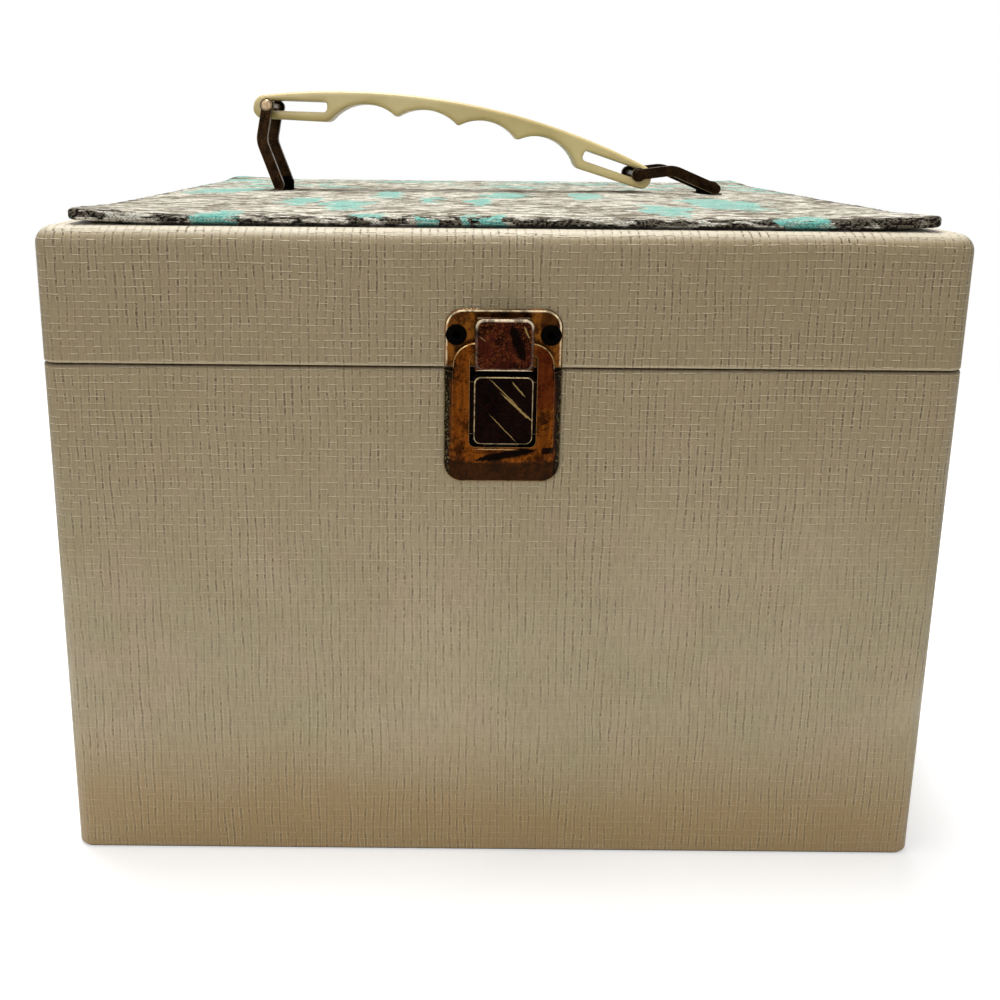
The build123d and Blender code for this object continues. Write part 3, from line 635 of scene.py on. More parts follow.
# %% Brass plates
CREAM = colour(226, 206, 166)
SOOT = colour(7, 5, 4)
BRASS = metal_material(
    "antique_brass",
    Tones(colour(116, 68, 22), colour(36, 16, 7), CREAM, colour(22, 9, 4)),
    speck_share=0.6, roughness=0.32, wear=0.7, reach=0.4,
    stains=[
        Stain((12.5, 13.0), (3.4, 3.0), colour(34, 15, 7), 0.75),
        Stain((0.0, 15.0), (8.4, 1.6), colour(26, 12, 6), 0.7),
    ],
    # A painted highlight along the plate's rounded edge, strongest along the top.
    rim_highlights=[RimHighlight(half_width=15.1, low=-20.0, high=15.7, corner=4.8, inset=0.35, width=0.55, lowest=1.0)],
)
HOUSING = metal_material(
    "antique_brass_housing",
    Tones(colour(108, 56, 13), colour(30, 12, 5), colour(170, 142, 94), colour(12, 5, 3)),
    speck_share=0.80, roughness=0.34, wear=0.35, reach=0.3,
    stains=[
        Stain((11.2, -1.5), (3.0, 9.0), colour(62, 19, 8), 0.72),
        Stain((0.0, -28.4), (20.0, 4.4), colour(28, 15, 5), 0.88),
        Stain((-15.4, -12.0), (1.9, 18.0), colour(12, 9, 6), 0.95),
        Stain((15.4, -12.0), (1.9, 18.0), colour(14, 8, 5), 0.95),
        Stain((11.8, -21.0), (1.7, 1.0), SOOT, 0.95),
        Stain((-14.6, 0.0), (2.4, 2.2), SOOT, 0.9),
        Stain((14.6, 0.0), (2.4, 2.2), SOOT, 0.9),
        Stain((0.0, -21.2), (8.2, 0.9), colour(54, 24, 8), 0.6),
    ],
    scratches=[
        Scratch((-9.0, -24.2), (10.5, -20.4), 1.3, SOOT, 0.98),
        Scratch((9.3, -14.4), (12.2, -13.0), 0.22, SOOT, 0.9),
        Scratch((9.6, -15.6), (12.4, -14.6), 0.14, SOOT, 0.8),
        Scratch((-12.0, -11.0), (-10.4, -14.6), 0.2, SOOT, 0.6),
        # A painted highlight on the window's lower lip, drawn as a scratch.
        Scratch((-8.6, -20.7), (5.0, -20.9), 0.2, colour(170, 132, 84), 0.7),
    ],
    # Painted highlights along the edge of the raised part and along the plate's outer edge.
    rim_highlights=[
        RimHighlight(half_width=13.0, low=-23.6, high=7.4, corner=6.0, inset=0.1, width=0.3, lowest=0.8),
        RimHighlight(half_width=15.1, low=-30.4, high=12.0, corner=4.8, inset=0.05, width=0.22, side=0.4),
    ],
    # Painted glints over the dark sides of the housing.
    glints=[((-15.4, -12.0), (1.9, 16.0)), ((15.6, -12.0), (1.6, 14.0))],
)
print("brass plates:", BRASS.name, "and", HOUSING.name)

# %% [markdown]
# ## The hasp and the slide button
# Both have oxidised to a red-black, and fingers touch them each time the box is opened. So they have the
# longest scratches, which mostly run down to the right, as a right hand's nails leave them. Their edges
# carry the brightest painted highlights, and the hasp's lower edge carries one more, drawn as a scratch.
# The button is almost black, the hasp a dark red-brown.

# %% Hasp and button
GOLD = colour(134, 112, 68)
HASP = metal_material(
    "oxidised_hasp",
    Tones(colour(54, 20, 12), colour(15, 6, 5), colour(200, 184, 156), colour(104, 54, 24)),
    speck_share=0.62, roughness=0.28, wear=0.25, reach=0.25,
    stains=[
        Stain((-5.6, 12.0), (2.2, 2.0), SOOT, 0.7),
        Stain((4.6, 10.6), (2.6, 3.4), SOOT, 0.45),
    ],
    scratches=[
        Scratch((1.2, 13.6), (5.4, 2.4), 1.6, SOOT, 0.95),
        Scratch((4.6, 12.8), (6.3, 8.6), 0.24, GOLD, 0.9),
        Scratch((-6.6, 9.8), (-4.4, 8.0), 0.16, GOLD, 0.5),
        # A painted highlight along the hasp's lower edge, drawn as a scratch.
        Scratch((-9.0, 0.75), (9.0, 0.75), 0.3, colour(190, 172, 140), 0.9),
    ],
    # A painted highlight along the hasp's edge, strongest along the top.
    rim_highlights=[
        RimHighlight(half_width=7.4, low=0.6, high=14.0, corner=2.2, inset=0.1, width=0.75, lowest=0.5, side=0.10)
    ],
)
BUTTON = metal_material(
    "oxidised_button",
    Tones(colour(15, 8, 6), colour(7, 4, 4), colour(190, 168, 126), colour(40, 14, 9)),
    speck_share=0.35, roughness=0.22, wear=0.3, reach=0.25,
    scratches=[
        Scratch((-4.6, -0.4), (4.2, -9.0), 0.16, GOLD, 0.9),
        Scratch((-1.6, -4.2), (8.4, -13.4), 0.34, GOLD, 0.95),
        Scratch((1.6, -1.5), (5.8, -6.4), 0.24, GOLD, 0.9),
        Scratch((-4.4, -9.8), (4.0, -18.6), 0.14, GOLD, 0.8),
    ],
    # A painted highlight along the button's edge.
    rim_highlights=[RimHighlight(half_width=7.55, low=-18.7, high=-0.8, corner=1.9, inset=0.05, width=0.36, side=0.7)],
)
print("latch parts:", HASP.name, "and", BUTTON.name)

# %% [markdown]
# ## Moulded plastic
# The grip is cast in cream plastic that has yellowed, and the tray in a paler one. Light goes a
# little way into such plastic, so it gets a small subsurface share, and its gloss is broken by
# fine scuffs along the way a hand slides. Moulded edges are never sharp; a Bevel node's normal
# rounds them without changing the mesh.

# %% Plastic materials
def plastic_material(name, base, deep, roughness, grain, soft):
    """Cream plastic; grain is the depth of its tooth and soft its edge rounding, both in mm."""
    material, graph, shader, place = new_material(name, roughness)
    spot = place["Object"]
    tone = graph.mix(graph.smooth(graph.noise(spot, 40.0, 3.0), 0.35, 0.68), base, deep)
    scuffs = graph.smooth(graph.stretched(spot, (0.006, 0.0012, 0.0009), 3.0, 0.65), 0.56, 0.70)
    tone = graph.over(tone, scuffs, 0.10, colour(120, 104, 66))
    graph.feed(shader.inputs["Base Color"], tone)
    graph.feed(shader.inputs["Roughness"], graph.plus(roughness, graph.times(scuffs, 0.18)))
    shader.inputs["Subsurface Weight"].default_value = 0.12
    shader.inputs["Subsurface Radius"].default_value = (0.004, 0.003, 0.0015)
    rounded = graph.node("ShaderNodeBevel", {"Radius": soft * MM}, samples=8).outputs[0]
    bump(graph, shader, graph.noise(spot, 420.0, 2.0), grain * MM, normal=rounded)
    return material


GRIP = plastic_material(
    "cream_grip_plastic", colour(198, 180, 126), colour(178, 158, 102), 0.36, grain=0.02, soft=1.8
)
TRAY = plastic_material(
    "tray_plastic", colour(206, 191, 156), colour(194, 178, 142), 0.42, grain=0.05, soft=0.6
)
print("plastics:", GRIP.name, "and", TRAY.name)

# %% [markdown]
# ## Board, base paper and lining
# Where no vinyl reaches, the box shows raw fibreboard, a black paper under its base, and a cream
# lining paper with a cloth grain inside. Fibre is short flecks of a second tone. The lining's
# grain is a printed square weave, which two sine waves across each other give exactly.

# %% Board, base paper and lining
LINING_THREAD = 0.8 * MM


def fibre_material(name, base, fleck, fineness, roughness):
    """Pressed fibre or paper: short flecks of a second tone and a fine tooth."""
    material, graph, shader, place = new_material(name, roughness)
    spot = place["Object"]
    flecks = graph.smooth(graph.noise(spot, fineness, 4.0, 0.7), 0.48, 0.64)
    graph.feed(shader.inputs["Base Color"], graph.mix(graph.times(flecks, 0.5), base, fleck))
    bump(graph, shader, graph.noise(spot, fineness * 1.6, 3.0, 0.6), 0.08 * MM)
    return material


def lining_material():
    """Cloth-grained lining paper: a fine square weave printed on cream paper."""
    material, graph, shader, place = new_material("woven_lining_paper", 0.8)
    wall = graph.group(WALL, {"Place": place["Object"], "Facing": place["Normal"]})
    waves = []
    for direction in ("Across", "Up"):
        turns = graph.times(wall[direction], 2 * math.pi / LINING_THREAD)
        waves.append(graph.size(graph.math("SINE", turns)))
    weave = graph.times(waves[0], waves[1])
    mottled = graph.smooth(graph.noise(place["Object"], 70.0, 4.0, 0.6), 0.35, 0.7)
    tone = graph.mix(mottled, colour(214, 202, 172), colour(198, 184, 150))
    graph.feed(shader.inputs["Base Color"], graph.over(tone, weave, 0.25, colour(160, 145, 112)))
    bump(graph, shader, weave, 0.06 * MM, 0.7)
    return material


BOARD = fibre_material("raw_fibreboard", colour(150, 122, 88), colour(110, 84, 56), 500.0, 0.85)
BASE = fibre_material("black_base_paper", colour(48, 44, 40), colour(84, 78, 70), 700.0, 0.8)
LINING = lining_material()
print("inner finishes:", BOARD.name, BASE.name, LINING.name)

# %% [markdown]
# ## The yarns of the tweed
# The pad's cloth is woven from thick level yarns that change colour along their length, over
# fine dark warp threads. Each yarn is one row, so a colour is read per row: the row number and
# the place along it feed a noise, and neighbouring rows agree only in part. That gives streaks
# that follow the weave, where a plain noise would give clouds.

# %% Tweed yarns
YARN = 0.46 * MM
WARP = 0.46 * MM
SWAY = 1.8 * MM


class Cloth:
    """The weave's coordinates: rows of yarn, columns of warp, and noise that follows a row."""

    def __init__(self, graph, place):
        self.graph = graph
        self.along, self.back, self.high = graph.parts(place)[:3]
        self.run = graph.plus(self.back, self.high)
        self.flat = graph.vector(self.along, self.run)
        self.turned = graph.vector(self.run, self.along)
        sway = graph.times(graph.stretched(self.flat, (0.020, 0.012, 1.0), 2.0), SWAY)
        yarn = graph.share(graph.plus(self.run, sway), YARN)
        warp = graph.share(graph.plus(self.along, graph.times(sway, 0.5)), WARP)
        self.row, self.column = graph.math("FLOOR", yarn), graph.math("FLOOR", warp)
        self.in_row = graph.minus(yarn, self.row)
        self.in_column = graph.minus(warp, self.column)

    def streaks(self, length, kinship, seed):
        """Noise along each yarn; a small kinship makes neighbouring yarns alike."""
        graph = self.graph
        feeds = graph.vector(graph.share(self.along, length), graph.times(self.row, kinship), seed)
        return graph.noise(feeds, 1.0, 2.0, 0.55)

    def relief(self):
        """Round yarns that rise over each warp thread, with slubs in them."""
        graph = self.graph
        round_yarn = graph.math("SINE", graph.times(self.in_row, math.pi))
        round_warp = graph.math("SINE", graph.times(self.in_column, math.pi))
        height = graph.times(round_yarn, graph.plus(0.55, graph.times(round_warp, 0.45)))
        slub = graph.stretched(self.flat, (0.0030, 0.0009, 1.0), 3.0, 0.6)
        return graph.plus(height, graph.times(slub, 1.1))


# %% [markdown]
# ## The turquoise blocks
# Here and there the yarns were dyed turquoise for a stretch, and where such stretches meet they make
# blocks with frayed sides. The blocks near the front are listed one by one, as a middle and half sizes in
# millimetres on the pad; two noises bend their outlines and a third frays them.
# Further back, where the eye sees little of them, a noise scatters more.

# %% Turquoise blocks
PAD_LOW, PAD_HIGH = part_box("pad_fabric")
PAD_HALF_X = (PAD_HIGH.x - PAD_LOW.x) / 2 + 1.6 * MM
PAD_HALF_Y = (PAD_HIGH.y - PAD_LOW.y) / 2
PAD_TOP = PAD_HIGH.z - 0.6 * MM
Block = namedtuple("Block", "x y half_x half_y")
TURQUOISE = [
    Block(-92, -3, 13, 13), Block(-58, -51, 4, 13), Block(-43, -62, 6, 12), Block(-34, -23, 4, 15),
    Block(-20, -44, 3, 10), Block(-5, -50, 3, 12), Block(4, -23, 7, 11), Block(30, -25, 5, 13),
    Block(45, -69, 6, 12), Block(68, -49, 11, 17), Block(-74, -88, 7, 6), Block(-36, -86, 5, 3),
    Block(-21, -90, 2, 4), Block(-9, -89, 2, 4), Block(-1, -88, 3, 5), Block(78, -88, 7, 6),
]


def turquoise_mask(graph, cloth):
    """Where the yarns are turquoise."""
    level = graph.minus(cloth.run, PAD_TOP)
    bend_x = graph.minus(graph.stretched(cloth.flat, (0.012, 0.010, 1.0), 3.0, 0.6), 0.5)
    bend_y = graph.minus(graph.stretched(cloth.turned, (0.011, 0.013, 1.0), 3.0, 0.6), 0.5)
    x = graph.plus(cloth.along, graph.times(bend_x, 20 * MM))
    y = graph.plus(level, graph.times(bend_y, 16 * MM))
    scattered = graph.smooth(cloth.streaks(0.018, 0.052, 5.3), 0.46, 0.64)
    mask = graph.times(scattered, graph.smooth(level, 4 * MM, 20 * MM))
    for block in TURQUOISE:
        out_x = graph.share(graph.minus(x, block.x * MM), block.half_x * MM)
        out_y = graph.share(graph.minus(y, block.y * MM), block.half_y * MM)
        out = graph.plus(graph.math("POWER", out_x, 4.0), graph.math("POWER", out_y, 2.0))
        mask = graph.math("MAXIMUM", mask, graph.smooth(out, 2.4, 0.1))
    fray = graph.times(graph.minus(cloth.streaks(0.0075, 0.62, 3.1), 0.5), 2.5)
    return graph.smooth(graph.plus(mask, fray), 0.48, 0.70)


print("placed turquoise blocks:", len(TURQUOISE))

# %% [markdown]
# ## The tweed's colours
# Cream yarns make the ground. Between them run streaks of brown, pale on top as painted light and almost
# black round the edge as painted shade, where the cloth is folded and light doesn't reach. Dark warp
# threads show between the yarns, the hollows between the yarns are darkened as painted shade, and a
# painted contact shadow makes the bottom of the rim black.

# %% Tweed material
def folded_edge_shade_mask(graph, cloth):
    """High on the last few millimetres round the pad, where the cloth is folded down and the painted
    shade goes.
    """
    sides = graph.smooth(graph.size(cloth.along), PAD_HALF_X - 4.5 * MM, PAD_HALF_X - 1.5 * MM)
    ends = graph.smooth(graph.size(cloth.back), PAD_HALF_Y - 4.5 * MM, PAD_HALF_Y - 1.5 * MM)
    return graph.math("MAXIMUM", sides, ends)


def yarn_tone(graph, cloth, edge):
    """Cream, brown and turquoise yarns over a dark warp, with painted light on top and painted shade
    round the edge.
    """
    streak = graph.smooth(cloth.streaks(0.0040, 0.62, 1.7), 0.44, 0.58)
    wide = graph.stretched(cloth.flat, (0.030, 0.020, 1.0), 2.0, 0.5)
    narrow = cloth.streaks(0.0060, 0.27, 8.7)
    bands = graph.plus(graph.times(narrow, 0.72), graph.times(wide, 0.28))
    # Painted shade: round the folded edge the dark streaks spread, and the brown goes from pale on top,
    # as painted light, to near black.
    dark = graph.smooth(graph.plus(bands, graph.times(edge, 0.036)), 0.484, 0.536)
    crossing = graph.vector(graph.times(cloth.column, 0.53), graph.times(cloth.row, 0.61))
    tick = graph.smooth(graph.noise(crossing, 1.0, 0.0), 0.44, 0.56)
    cream = graph.mix(streak, colour(252, 247, 232), colour(196, 188, 168))
    brown = graph.mix(edge, colour(122, 113, 98), colour(20, 13, 8))
    brown = graph.over(brown, tick, 0.30, colour(214, 202, 176))
    blue = graph.mix(graph.times(streak, 0.8), colour(124, 206, 192), colour(190, 216, 202))
    tone = graph.mix(dark, cream, brown)
    dyed = graph.smooth(edge, 0.0, 1.0, 0.86, 1.0)
    tone = graph.over(tone, turquoise_mask(graph, cloth), dyed, blue)
    over_warp = graph.math("FLOORED_MODULO", graph.plus(cloth.row, cloth.column), 2.0)
    shows = graph.times(over_warp, graph.smooth(tick, 0.2, 0.9))
    return graph.over(tone, shows, graph.smooth(edge, 0.0, 1.0, 0.24, 0.55), colour(52, 43, 33))


def tweed_material():
    """Nubby tweed for the pad."""
    material, graph, shader, place = new_material("nubby_tweed", 0.9)
    cloth = Cloth(graph, place["Object"])
    edge = folded_edge_shade_mask(graph, cloth)
    height = cloth.relief()
    tone = yarn_tone(graph, cloth, edge)
    # Painted shade in the hollows between the yarns, where the relief is low.
    tone = graph.mix(graph.smooth(height, 0.9, 0.35, 0.0, 0.50), tone, colour(60, 52, 42))
    # Painted contact shadow: the bottom of the pad's rim goes black.
    painted_contact_shadow = graph.smooth(cloth.high, PAD_LOW.z + 1.4 * MM, PAD_LOW.z + 0.5 * MM)
    tone = graph.over(tone, painted_contact_shadow, 0.92, colour(12, 9, 7))
    graph.feed(shader.inputs["Base Color"], tone)
    shader.inputs["Specular IOR Level"].default_value = 0.12
    bump(graph, shader, height, 0.35 * MM)
    return material


TWEED = tweed_material()
print("tweed nodes", len(TWEED.node_tree.nodes))

# %% [markdown]
# ## Give every construction piece its finish
# The construction names a material for each piece. Most pieces take the finish of that name; a
# few of the latch and the handle have one of their own, because the same metal has darkened
# differently on each. Only the material slots change, never a piece's shape or place.

# %% Finish the construction pieces
FINISHES = {
    "vinyl": VINYL, "base_paper": BASE, "board": BOARD, "lining": LINING, "tweed": TWEED,
    "antique_brass": BRASS, "dark_bronze": BAIL, "pin_steel": STEEL,
    "ivory_plastic": GRIP, "tray_plastic": TRAY,
}
OWN_FINISH = {
    "latch_cover_plate": HOUSING, "latch_base_plate": BLACKENED, "latch_hasp": HASP,
    "latch_slide_button": BUTTON, "latch_upper_rivets": BLACKENED, "left_foot_clip": BLACKENED,
    "right_foot_clip": BLACKENED, "left_bail_pin": PIN, "right_bail_pin": BAIL,
}


def finish_nodes():
    """Put each piece's finish into its material slots."""
    slots = {entry["node"]: entry["material_slot"] for entry in frame["record"]["subparts"]}
    for name, piece in nodes.items():
        material = OWN_FINISH.get(name, FINISHES[slots[name]])
        for slot in piece.material_slots:
            slot.material = material
    print("finished", len(nodes), "construction pieces")


finish_nodes()

# %% [markdown]
# ## The pad's blank
# A thin board is wrapped in tweed and glued to the lid. The mesh starts as an upholsterer would
# start: a flat blank with rounded corners and a soft rim. Bevels on a cube make it, and level
# cuts both ways give it enough points to swell and curl later. A cube and two bevels keep the
# rim's faces even, which a sculpted shape would not.

# %% Pad blank
PAD_CORNER = 3.6 * MM
PAD_THICK = 2.9 * MM
PAD_RIM = 0.85 * MM
PAD_GRID = 3.0 * MM
LEVEL = 1e-6


def bevel(shape, edges, offset, segments):
    """Round some edges of a mesh."""
    bmesh.ops.bevel(
        shape, geom=edges, offset=offset, offset_type="OFFSET", segments=segments,
        profile=0.5, affect="EDGES", material=-1, clamp_overlap=True,
    )


def rise_of(edge):
    """How far one end of an edge is above the other."""
    return abs(edge.verts[0].co.z - edge.verts[1].co.z)


def is_rim(edge):
    """True for a level edge between the pad's side and its top or bottom."""
    if rise_of(edge) > LEVEL or len(edge.link_faces) != 2:
        return False
    return abs(edge.link_faces[0].normal.z - edge.link_faces[1].normal.z) > 0.5


def cut_across(shape, axis, half, spacing):
    """Cut the whole mesh with parallel planes, a regular distance apart."""
    normal = Vector((0, 0, 0))
    normal[axis] = 1
    count = int(half / spacing)
    for step in range(-count, count + 1):
        geometry = shape.verts[:] + shape.edges[:] + shape.faces[:]
        place = normal * (step * spacing)
        bmesh.ops.bisect_plane(shape, geom=geometry, plane_co=place, plane_no=normal, dist=1e-7)


def pad_blank():
    """A flat pad with rounded corners and rim, cut into a grid."""
    shape = bmesh.new()
    bmesh.ops.create_cube(shape, size=1.0)
    size = Matrix.Diagonal((2 * PAD_HALF_X, 2 * PAD_HALF_Y, PAD_THICK, 1.0))
    bmesh.ops.transform(shape, matrix=size, verts=shape.verts)
    bevel(shape, [edge for edge in shape.edges if rise_of(edge) > PAD_THICK / 2], PAD_CORNER, 6)
    bevel(shape, [edge for edge in shape.edges if is_rim(edge)], PAD_RIM, 3)
    cut_across(shape, 0, PAD_HALF_X - PAD_CORNER, PAD_GRID)
    cut_across(shape, 1, PAD_HALF_Y - PAD_CORNER, PAD_GRID)
    bmesh.ops.subdivide_edges(shape, edges=shape.edges[:], cuts=1, use_grid_fill=True)
    bmesh.ops.remove_doubles(shape, verts=shape.verts, dist=LEVEL)
    return shape


blank = pad_blank()
print("pad blank faces", len(blank.faces))

# %% [markdown]
# ## The pad as the years left it
# Wadding lifts the middle, damp has curled the corners up, the front and back edges sag between
# them, and the yarns make the surface lumpy. Each of these is a rule that moves every point a
# little. The pad lies on a stiff board and hardly moves, so rules give its shape more surely
# than a cloth simulation.

# %% Pad shape
PAD_CURL = 1.3 * MM
PAD_DROOP = 0.6 * MM
CURL_REACH = 26 * MM
PAD_CROWN = PAD_HIGH.z - PAD_LOW.z - PAD_THICK - 0.1 * MM


def new_object(name, shape, material, smooth=True):
    """Turn a bmesh into an object of the scene with one material."""
    mesh = bpy.data.meshes.new(name)
    shape.to_mesh(mesh)
    shape.free()
    made = bpy.data.objects.new(name, mesh)
    bpy.context.scene.collection.objects.link(made)
    mesh.materials.append(material)
    for face in mesh.polygons:
        face.use_smooth = smooth
    return made


def pad_lift(x, y):
    """The crown and the bend of the whole pad at one place."""
    u = min(1.0, abs(x) / PAD_HALF_X)
    v = min(1.0, abs(y) / PAD_HALF_Y)
    crown = (1 - u**4) * (1 - v**4) * PAD_CROWN
    corner_x = max(0.0, abs(x) - (PAD_HALF_X - CURL_REACH)) / CURL_REACH
    corner_y = max(0.0, abs(y) - (PAD_HALF_Y - CURL_REACH)) / CURL_REACH
    curl = (corner_x * corner_y) ** 0.8 * PAD_CURL
    droop = v**24 * (1 - u**3) * PAD_DROOP
    return crown, curl - droop


def move_point(point):
    """Lift one point of the pad by every rule."""
    x, y, z = point.co
    crown, bend = pad_lift(x, y)
    share = (z + PAD_THICK / 2) / PAD_THICK
    lump = noise.noise(Vector((x * 260, y * 620, z * 300))) * 0.16 * MM
    wave = noise.noise(Vector((x * 34, y * 34, 4.0))) * 0.22 * MM
    point.co.z += share * (crown + wave) + bend + lump * share
    if max(abs(x) / PAD_HALF_X, abs(y) / PAD_HALF_Y) > 0.97:
        ruffle = 1.0 + noise.noise(Vector((x * 190, y * 190, 9.0))) * 0.0016
        point.co.x *= ruffle
        point.co.y *= ruffle


def make_pad(shape):
    """The tweed pad, lifted onto the lid."""
    for point in shape.verts:
        move_point(point)
    middle = (PAD_LOW + PAD_HIGH) / 2
    onto_lid = Vector((middle.x, middle.y, PAD_LOW.z + PAD_THICK / 2))
    bmesh.ops.translate(shape, verts=shape.verts, vec=onto_lid)
    bmesh.ops.recalc_face_normals(shape, faces=shape.faces)
    return new_object("tweed_pad", shape, TWEED)


pad = make_pad(blank)
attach(pad, "lid")
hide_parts("pad_fabric", "pad_board")
print("pad faces", len(pad.data.polygons))

# %% [markdown]
# ## The latch spring
# A flat spring under the button pushes it back up. It is one strip of steel bent to and fro. The mesh
# follows the same way as the bending tool: the strip's end face is drawn out for each straight leg and
# spun half a turn for each bend. The spring gets shorter when the button slides down on it.

# %% Latch spring
SPRING_LOW, SPRING_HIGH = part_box("latch_spring")
SPRING_LEGS = 7
SPRING_THICK = 0.34 * MM
SPRING_HEIGHT = SPRING_HIGH.z - SPRING_LOW.z
SPRING_PITCH = (SPRING_HEIGHT - SPRING_THICK) / (SPRING_LEGS - 1)


def spring_end_face(shape, x):
    """The strip's square-cut upper end, as the first face of the spring."""
    top, bottom = SPRING_HIGH.z, SPRING_HIGH.z - SPRING_THICK
    corners = [(SPRING_LOW.y, top), (SPRING_HIGH.y, top), (SPRING_HIGH.y, bottom), (SPRING_LOW.y, bottom)]
    return shape.faces.new([shape.verts.new((x, y, z)) for y, z in corners])


def last_face(geometry):
    """The face at the end of what an operator has just drawn out."""
    return next(item for item in geometry if isinstance(item, bmesh.types.BMFace))


def draw_leg(shape, face, run):
    """Draw the strip's end straight out."""
    drawn = bmesh.ops.extrude_face_region(shape, geom=[face] + face.edges[:])["geom"]
    face = last_face(drawn)
    bmesh.ops.translate(shape, verts=face.verts[:], vec=(run, 0, 0))
    return face


def bend_down(shape, face, toward):
    """Spin the strip's end half a turn, down to the next leg."""
    middle = face.calc_center_median() - Vector((0, 0, SPRING_PITCH / 2))
    spun = bmesh.ops.spin(
        shape, geom=[face] + face.edges[:], cent=middle, axis=(0, 1, 0),
        angle=toward * math.pi, steps=6, use_duplicate=False,
    )
    return last_face(spun["geom_last"])


def make_spring():
    """A strip bent to and fro between the two sides of the latch's chamber."""
    reach = SPRING_HIGH.x - SPRING_PITCH / 2 - SPRING_THICK / 2
    shape = bmesh.new()
    face = spring_end_face(shape, reach)
    for leg in range(SPRING_LEGS):
        toward = -1 if leg % 2 == 0 else 1
        face = draw_leg(shape, face, toward * 2 * reach)
        if leg < SPRING_LEGS - 1:
            face = bend_down(shape, face, toward)
    bmesh.ops.remove_doubles(shape, verts=shape.verts, dist=1e-7)
    bmesh.ops.recalc_face_normals(shape, faces=shape.faces)
    open_edges = sum(1 for edge in shape.edges if len(edge.link_faces) != 2)
    print("spring faces", len(shape.faces), "open edges", open_edges)
    return new_object("bent_latch_spring", shape, STEEL, smooth=False)


spring = make_spring()
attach(spring, "case")
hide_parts("latch_spring")
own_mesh(spring)

# %% [markdown]
# ## The camera
# The picture is taken from close by, a little above the box and a little to its left, with a
# normal lens. The camera's place, tilt and lens are worked out from where the box's corners
# fall. That puts the lens's own middle away from the picture's middle, as cropping does. A lens
# shift allows for it, where turning the camera would make the uprights lean.

# %% Camera
CAMERA_PLACE = (-12.5 * MM, -305.3 * MM, 202.1 * MM)
CAMERA_PITCH = math.radians(10.18)
CAMERA_ROLL = math.radians(0.53)
SENSOR_WIDTH = 36.0
FOCAL_PIXELS = 856.2
IMAGE_PIXELS = 1000.0
AXIS_PIXEL = (455.1, 288.0)


def add_camera():
    """The camera that sees the box as the picture does."""
    lens = bpy.data.cameras.new("camera")
    lens.sensor_width = SENSOR_WIDTH
    lens.lens = SENSOR_WIDTH * FOCAL_PIXELS / IMAGE_PIXELS
    lens.shift_x = (IMAGE_PIXELS / 2 - AXIS_PIXEL[0]) / IMAGE_PIXELS
    lens.shift_y = (AXIS_PIXEL[1] - IMAGE_PIXELS / 2) / IMAGE_PIXELS
    lens.clip_start = 10 * MM
    camera = bpy.data.objects.new("camera", lens)
    bpy.context.scene.collection.objects.link(camera)
    pitch = Matrix.Rotation(math.pi / 2 - CAMERA_PITCH, 4, "X")
    roll = Matrix.Rotation(CAMERA_ROLL, 4, "Z")
    camera.matrix_world = Matrix.Translation(CAMERA_PLACE) @ pitch @ roll
    bpy.context.scene.camera = camera
    print("lens", round(lens.lens, 2), "mm")


add_camera()

# %% [markdown]
# ## Two soft lamps
# A small object is lit like a product on a table: one soft lamp above, which brightens the top
# of the pad and the lid's rounded edge, and a large one in front and to the left, which rakes
# over the embossed wall. Both stay at a plain level, so that a colour renders as it is written.

# %% Lamps
def add_lamp(name, place, target, size, watts):
    """A square soft lamp that points at a target."""
    data = bpy.data.lights.new(name, "AREA")
    data.shape = "SQUARE"
    data.size = size
    data.energy = watts
    lamp = bpy.data.objects.new(name, data)
    bpy.context.scene.collection.objects.link(lamp)
    aim = (Vector(target) - Vector(place)).to_track_quat("-Z", "Y").to_matrix().to_4x4()
    lamp.matrix_world = Matrix.Translation(place) @ aim
    print(name, watts, "W")


add_lamp("top_lamp", (-0.10, 0.10, 1.25), (0, 0, 0.15), size=0.5, watts=17.5)
add_lamp("front_lamp", (-0.50, -1.45, 0.80), (0, 0, 0.08), size=0.8, watts=11.4)

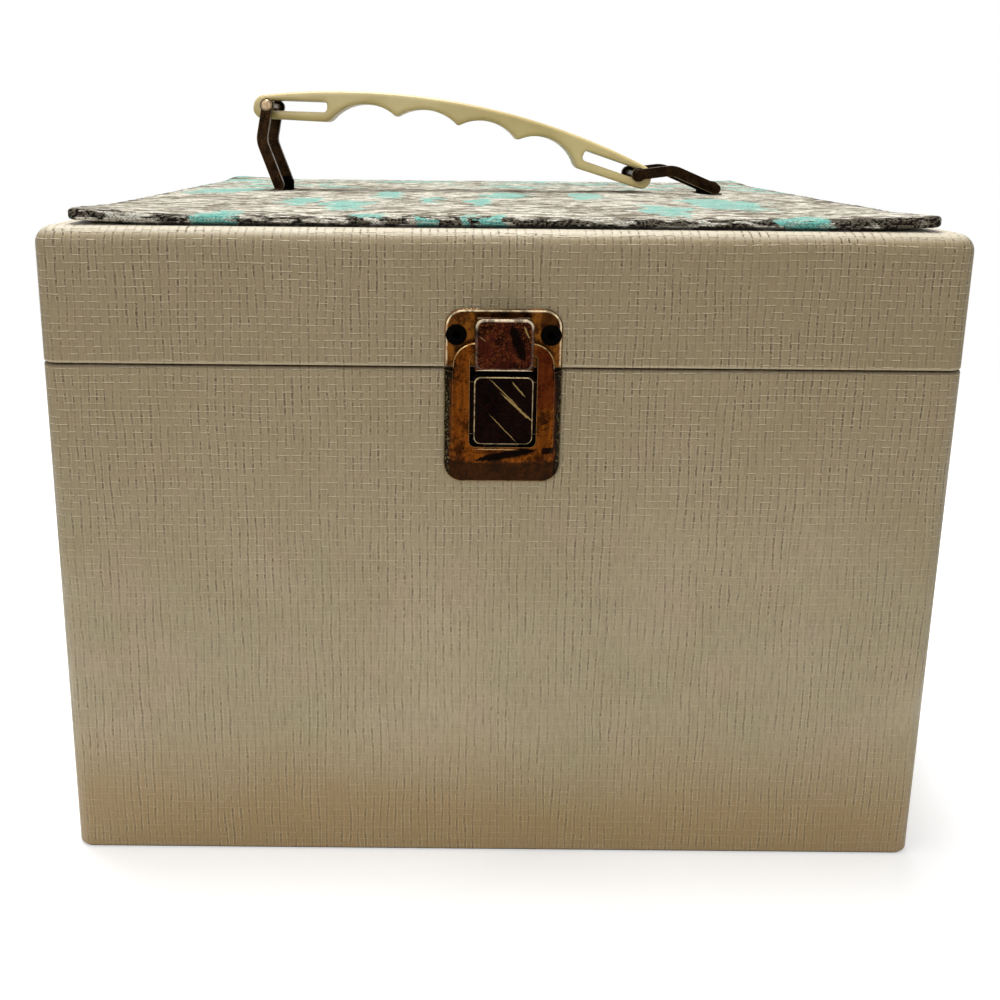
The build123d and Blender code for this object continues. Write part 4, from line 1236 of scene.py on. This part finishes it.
# %% [markdown]
# ## Surround and floor
# The box stands on a pale floor in a white room. The white comes from what the camera and the
# reflections see, and not from more light, which would bleach the box. The floor keeps the soft
# shadow near the box and fades to plain white further out.

# %% Surround and floor
WHITE = (1.0, 1.0, 1.0, 1.0)
BLACK = (0.0, 0.0, 0.0, 1.0)
FLOOR_HALF = 6.0
SHADOW_NEAR = 0.20
SHADOW_FAR = 0.60


def pale_surround():
    """A white surround for the camera and reflections, and an even dimmer light for the rest."""
    world = bpy.data.worlds.new("surround")
    bpy.context.scene.world = world
    world.use_nodes = True
    graph = Graph(world.node_tree)
    shader = world.node_tree.nodes["Background"]
    path = graph.node("ShaderNodeLightPath").outputs
    seen = graph.math("MAXIMUM", path["Is Camera Ray"], path["Is Glossy Ray"])
    seen = graph.math("MAXIMUM", seen, path["Is Transmission Ray"])
    graph.feed(shader.inputs["Strength"], graph.smooth(seen, 0.0, 1.0, 0.42, 1.0))
    shader.inputs["Color"].default_value = WHITE


def pale_floor():
    """A large floor that keeps the object's shadow near it and fades to plain white."""
    shape = bmesh.new()
    bmesh.ops.create_grid(shape, x_segments=1, y_segments=1, size=FLOOR_HALF)
    material, graph, shader, place = new_material("pale_floor", 0.9)
    far = graph.smooth(graph.length(place["Object"]), SHADOW_NEAR, SHADOW_FAR)
    graph.feed(shader.inputs["Base Color"], graph.mix(far, colour(240, 240, 240), BLACK))
    shader.inputs["Specular IOR Level"].default_value = 0.0
    path = graph.node("ShaderNodeLightPath").outputs
    seen = graph.math("MAXIMUM", path["Is Camera Ray"], path["Is Glossy Ray"])
    glow = graph.smooth(far, 0.0, 1.0, 0.30, 1.0)
    graph.feed(shader.inputs["Emission Strength"], graph.times(seen, glow))
    shader.inputs["Emission Color"].default_value = WHITE
    return new_object("floor", shape, material, smooth=False)


pale_surround()
floor = pale_floor()
print("floor fades to white from", SHADOW_NEAR, "to", SHADOW_FAR, "m")

# %% [markdown]
# ## The view transform
# The plain view transform shows colours as they were written.

# %% View settings and the end
bpy.context.scene.view_settings.view_transform = "Standard"
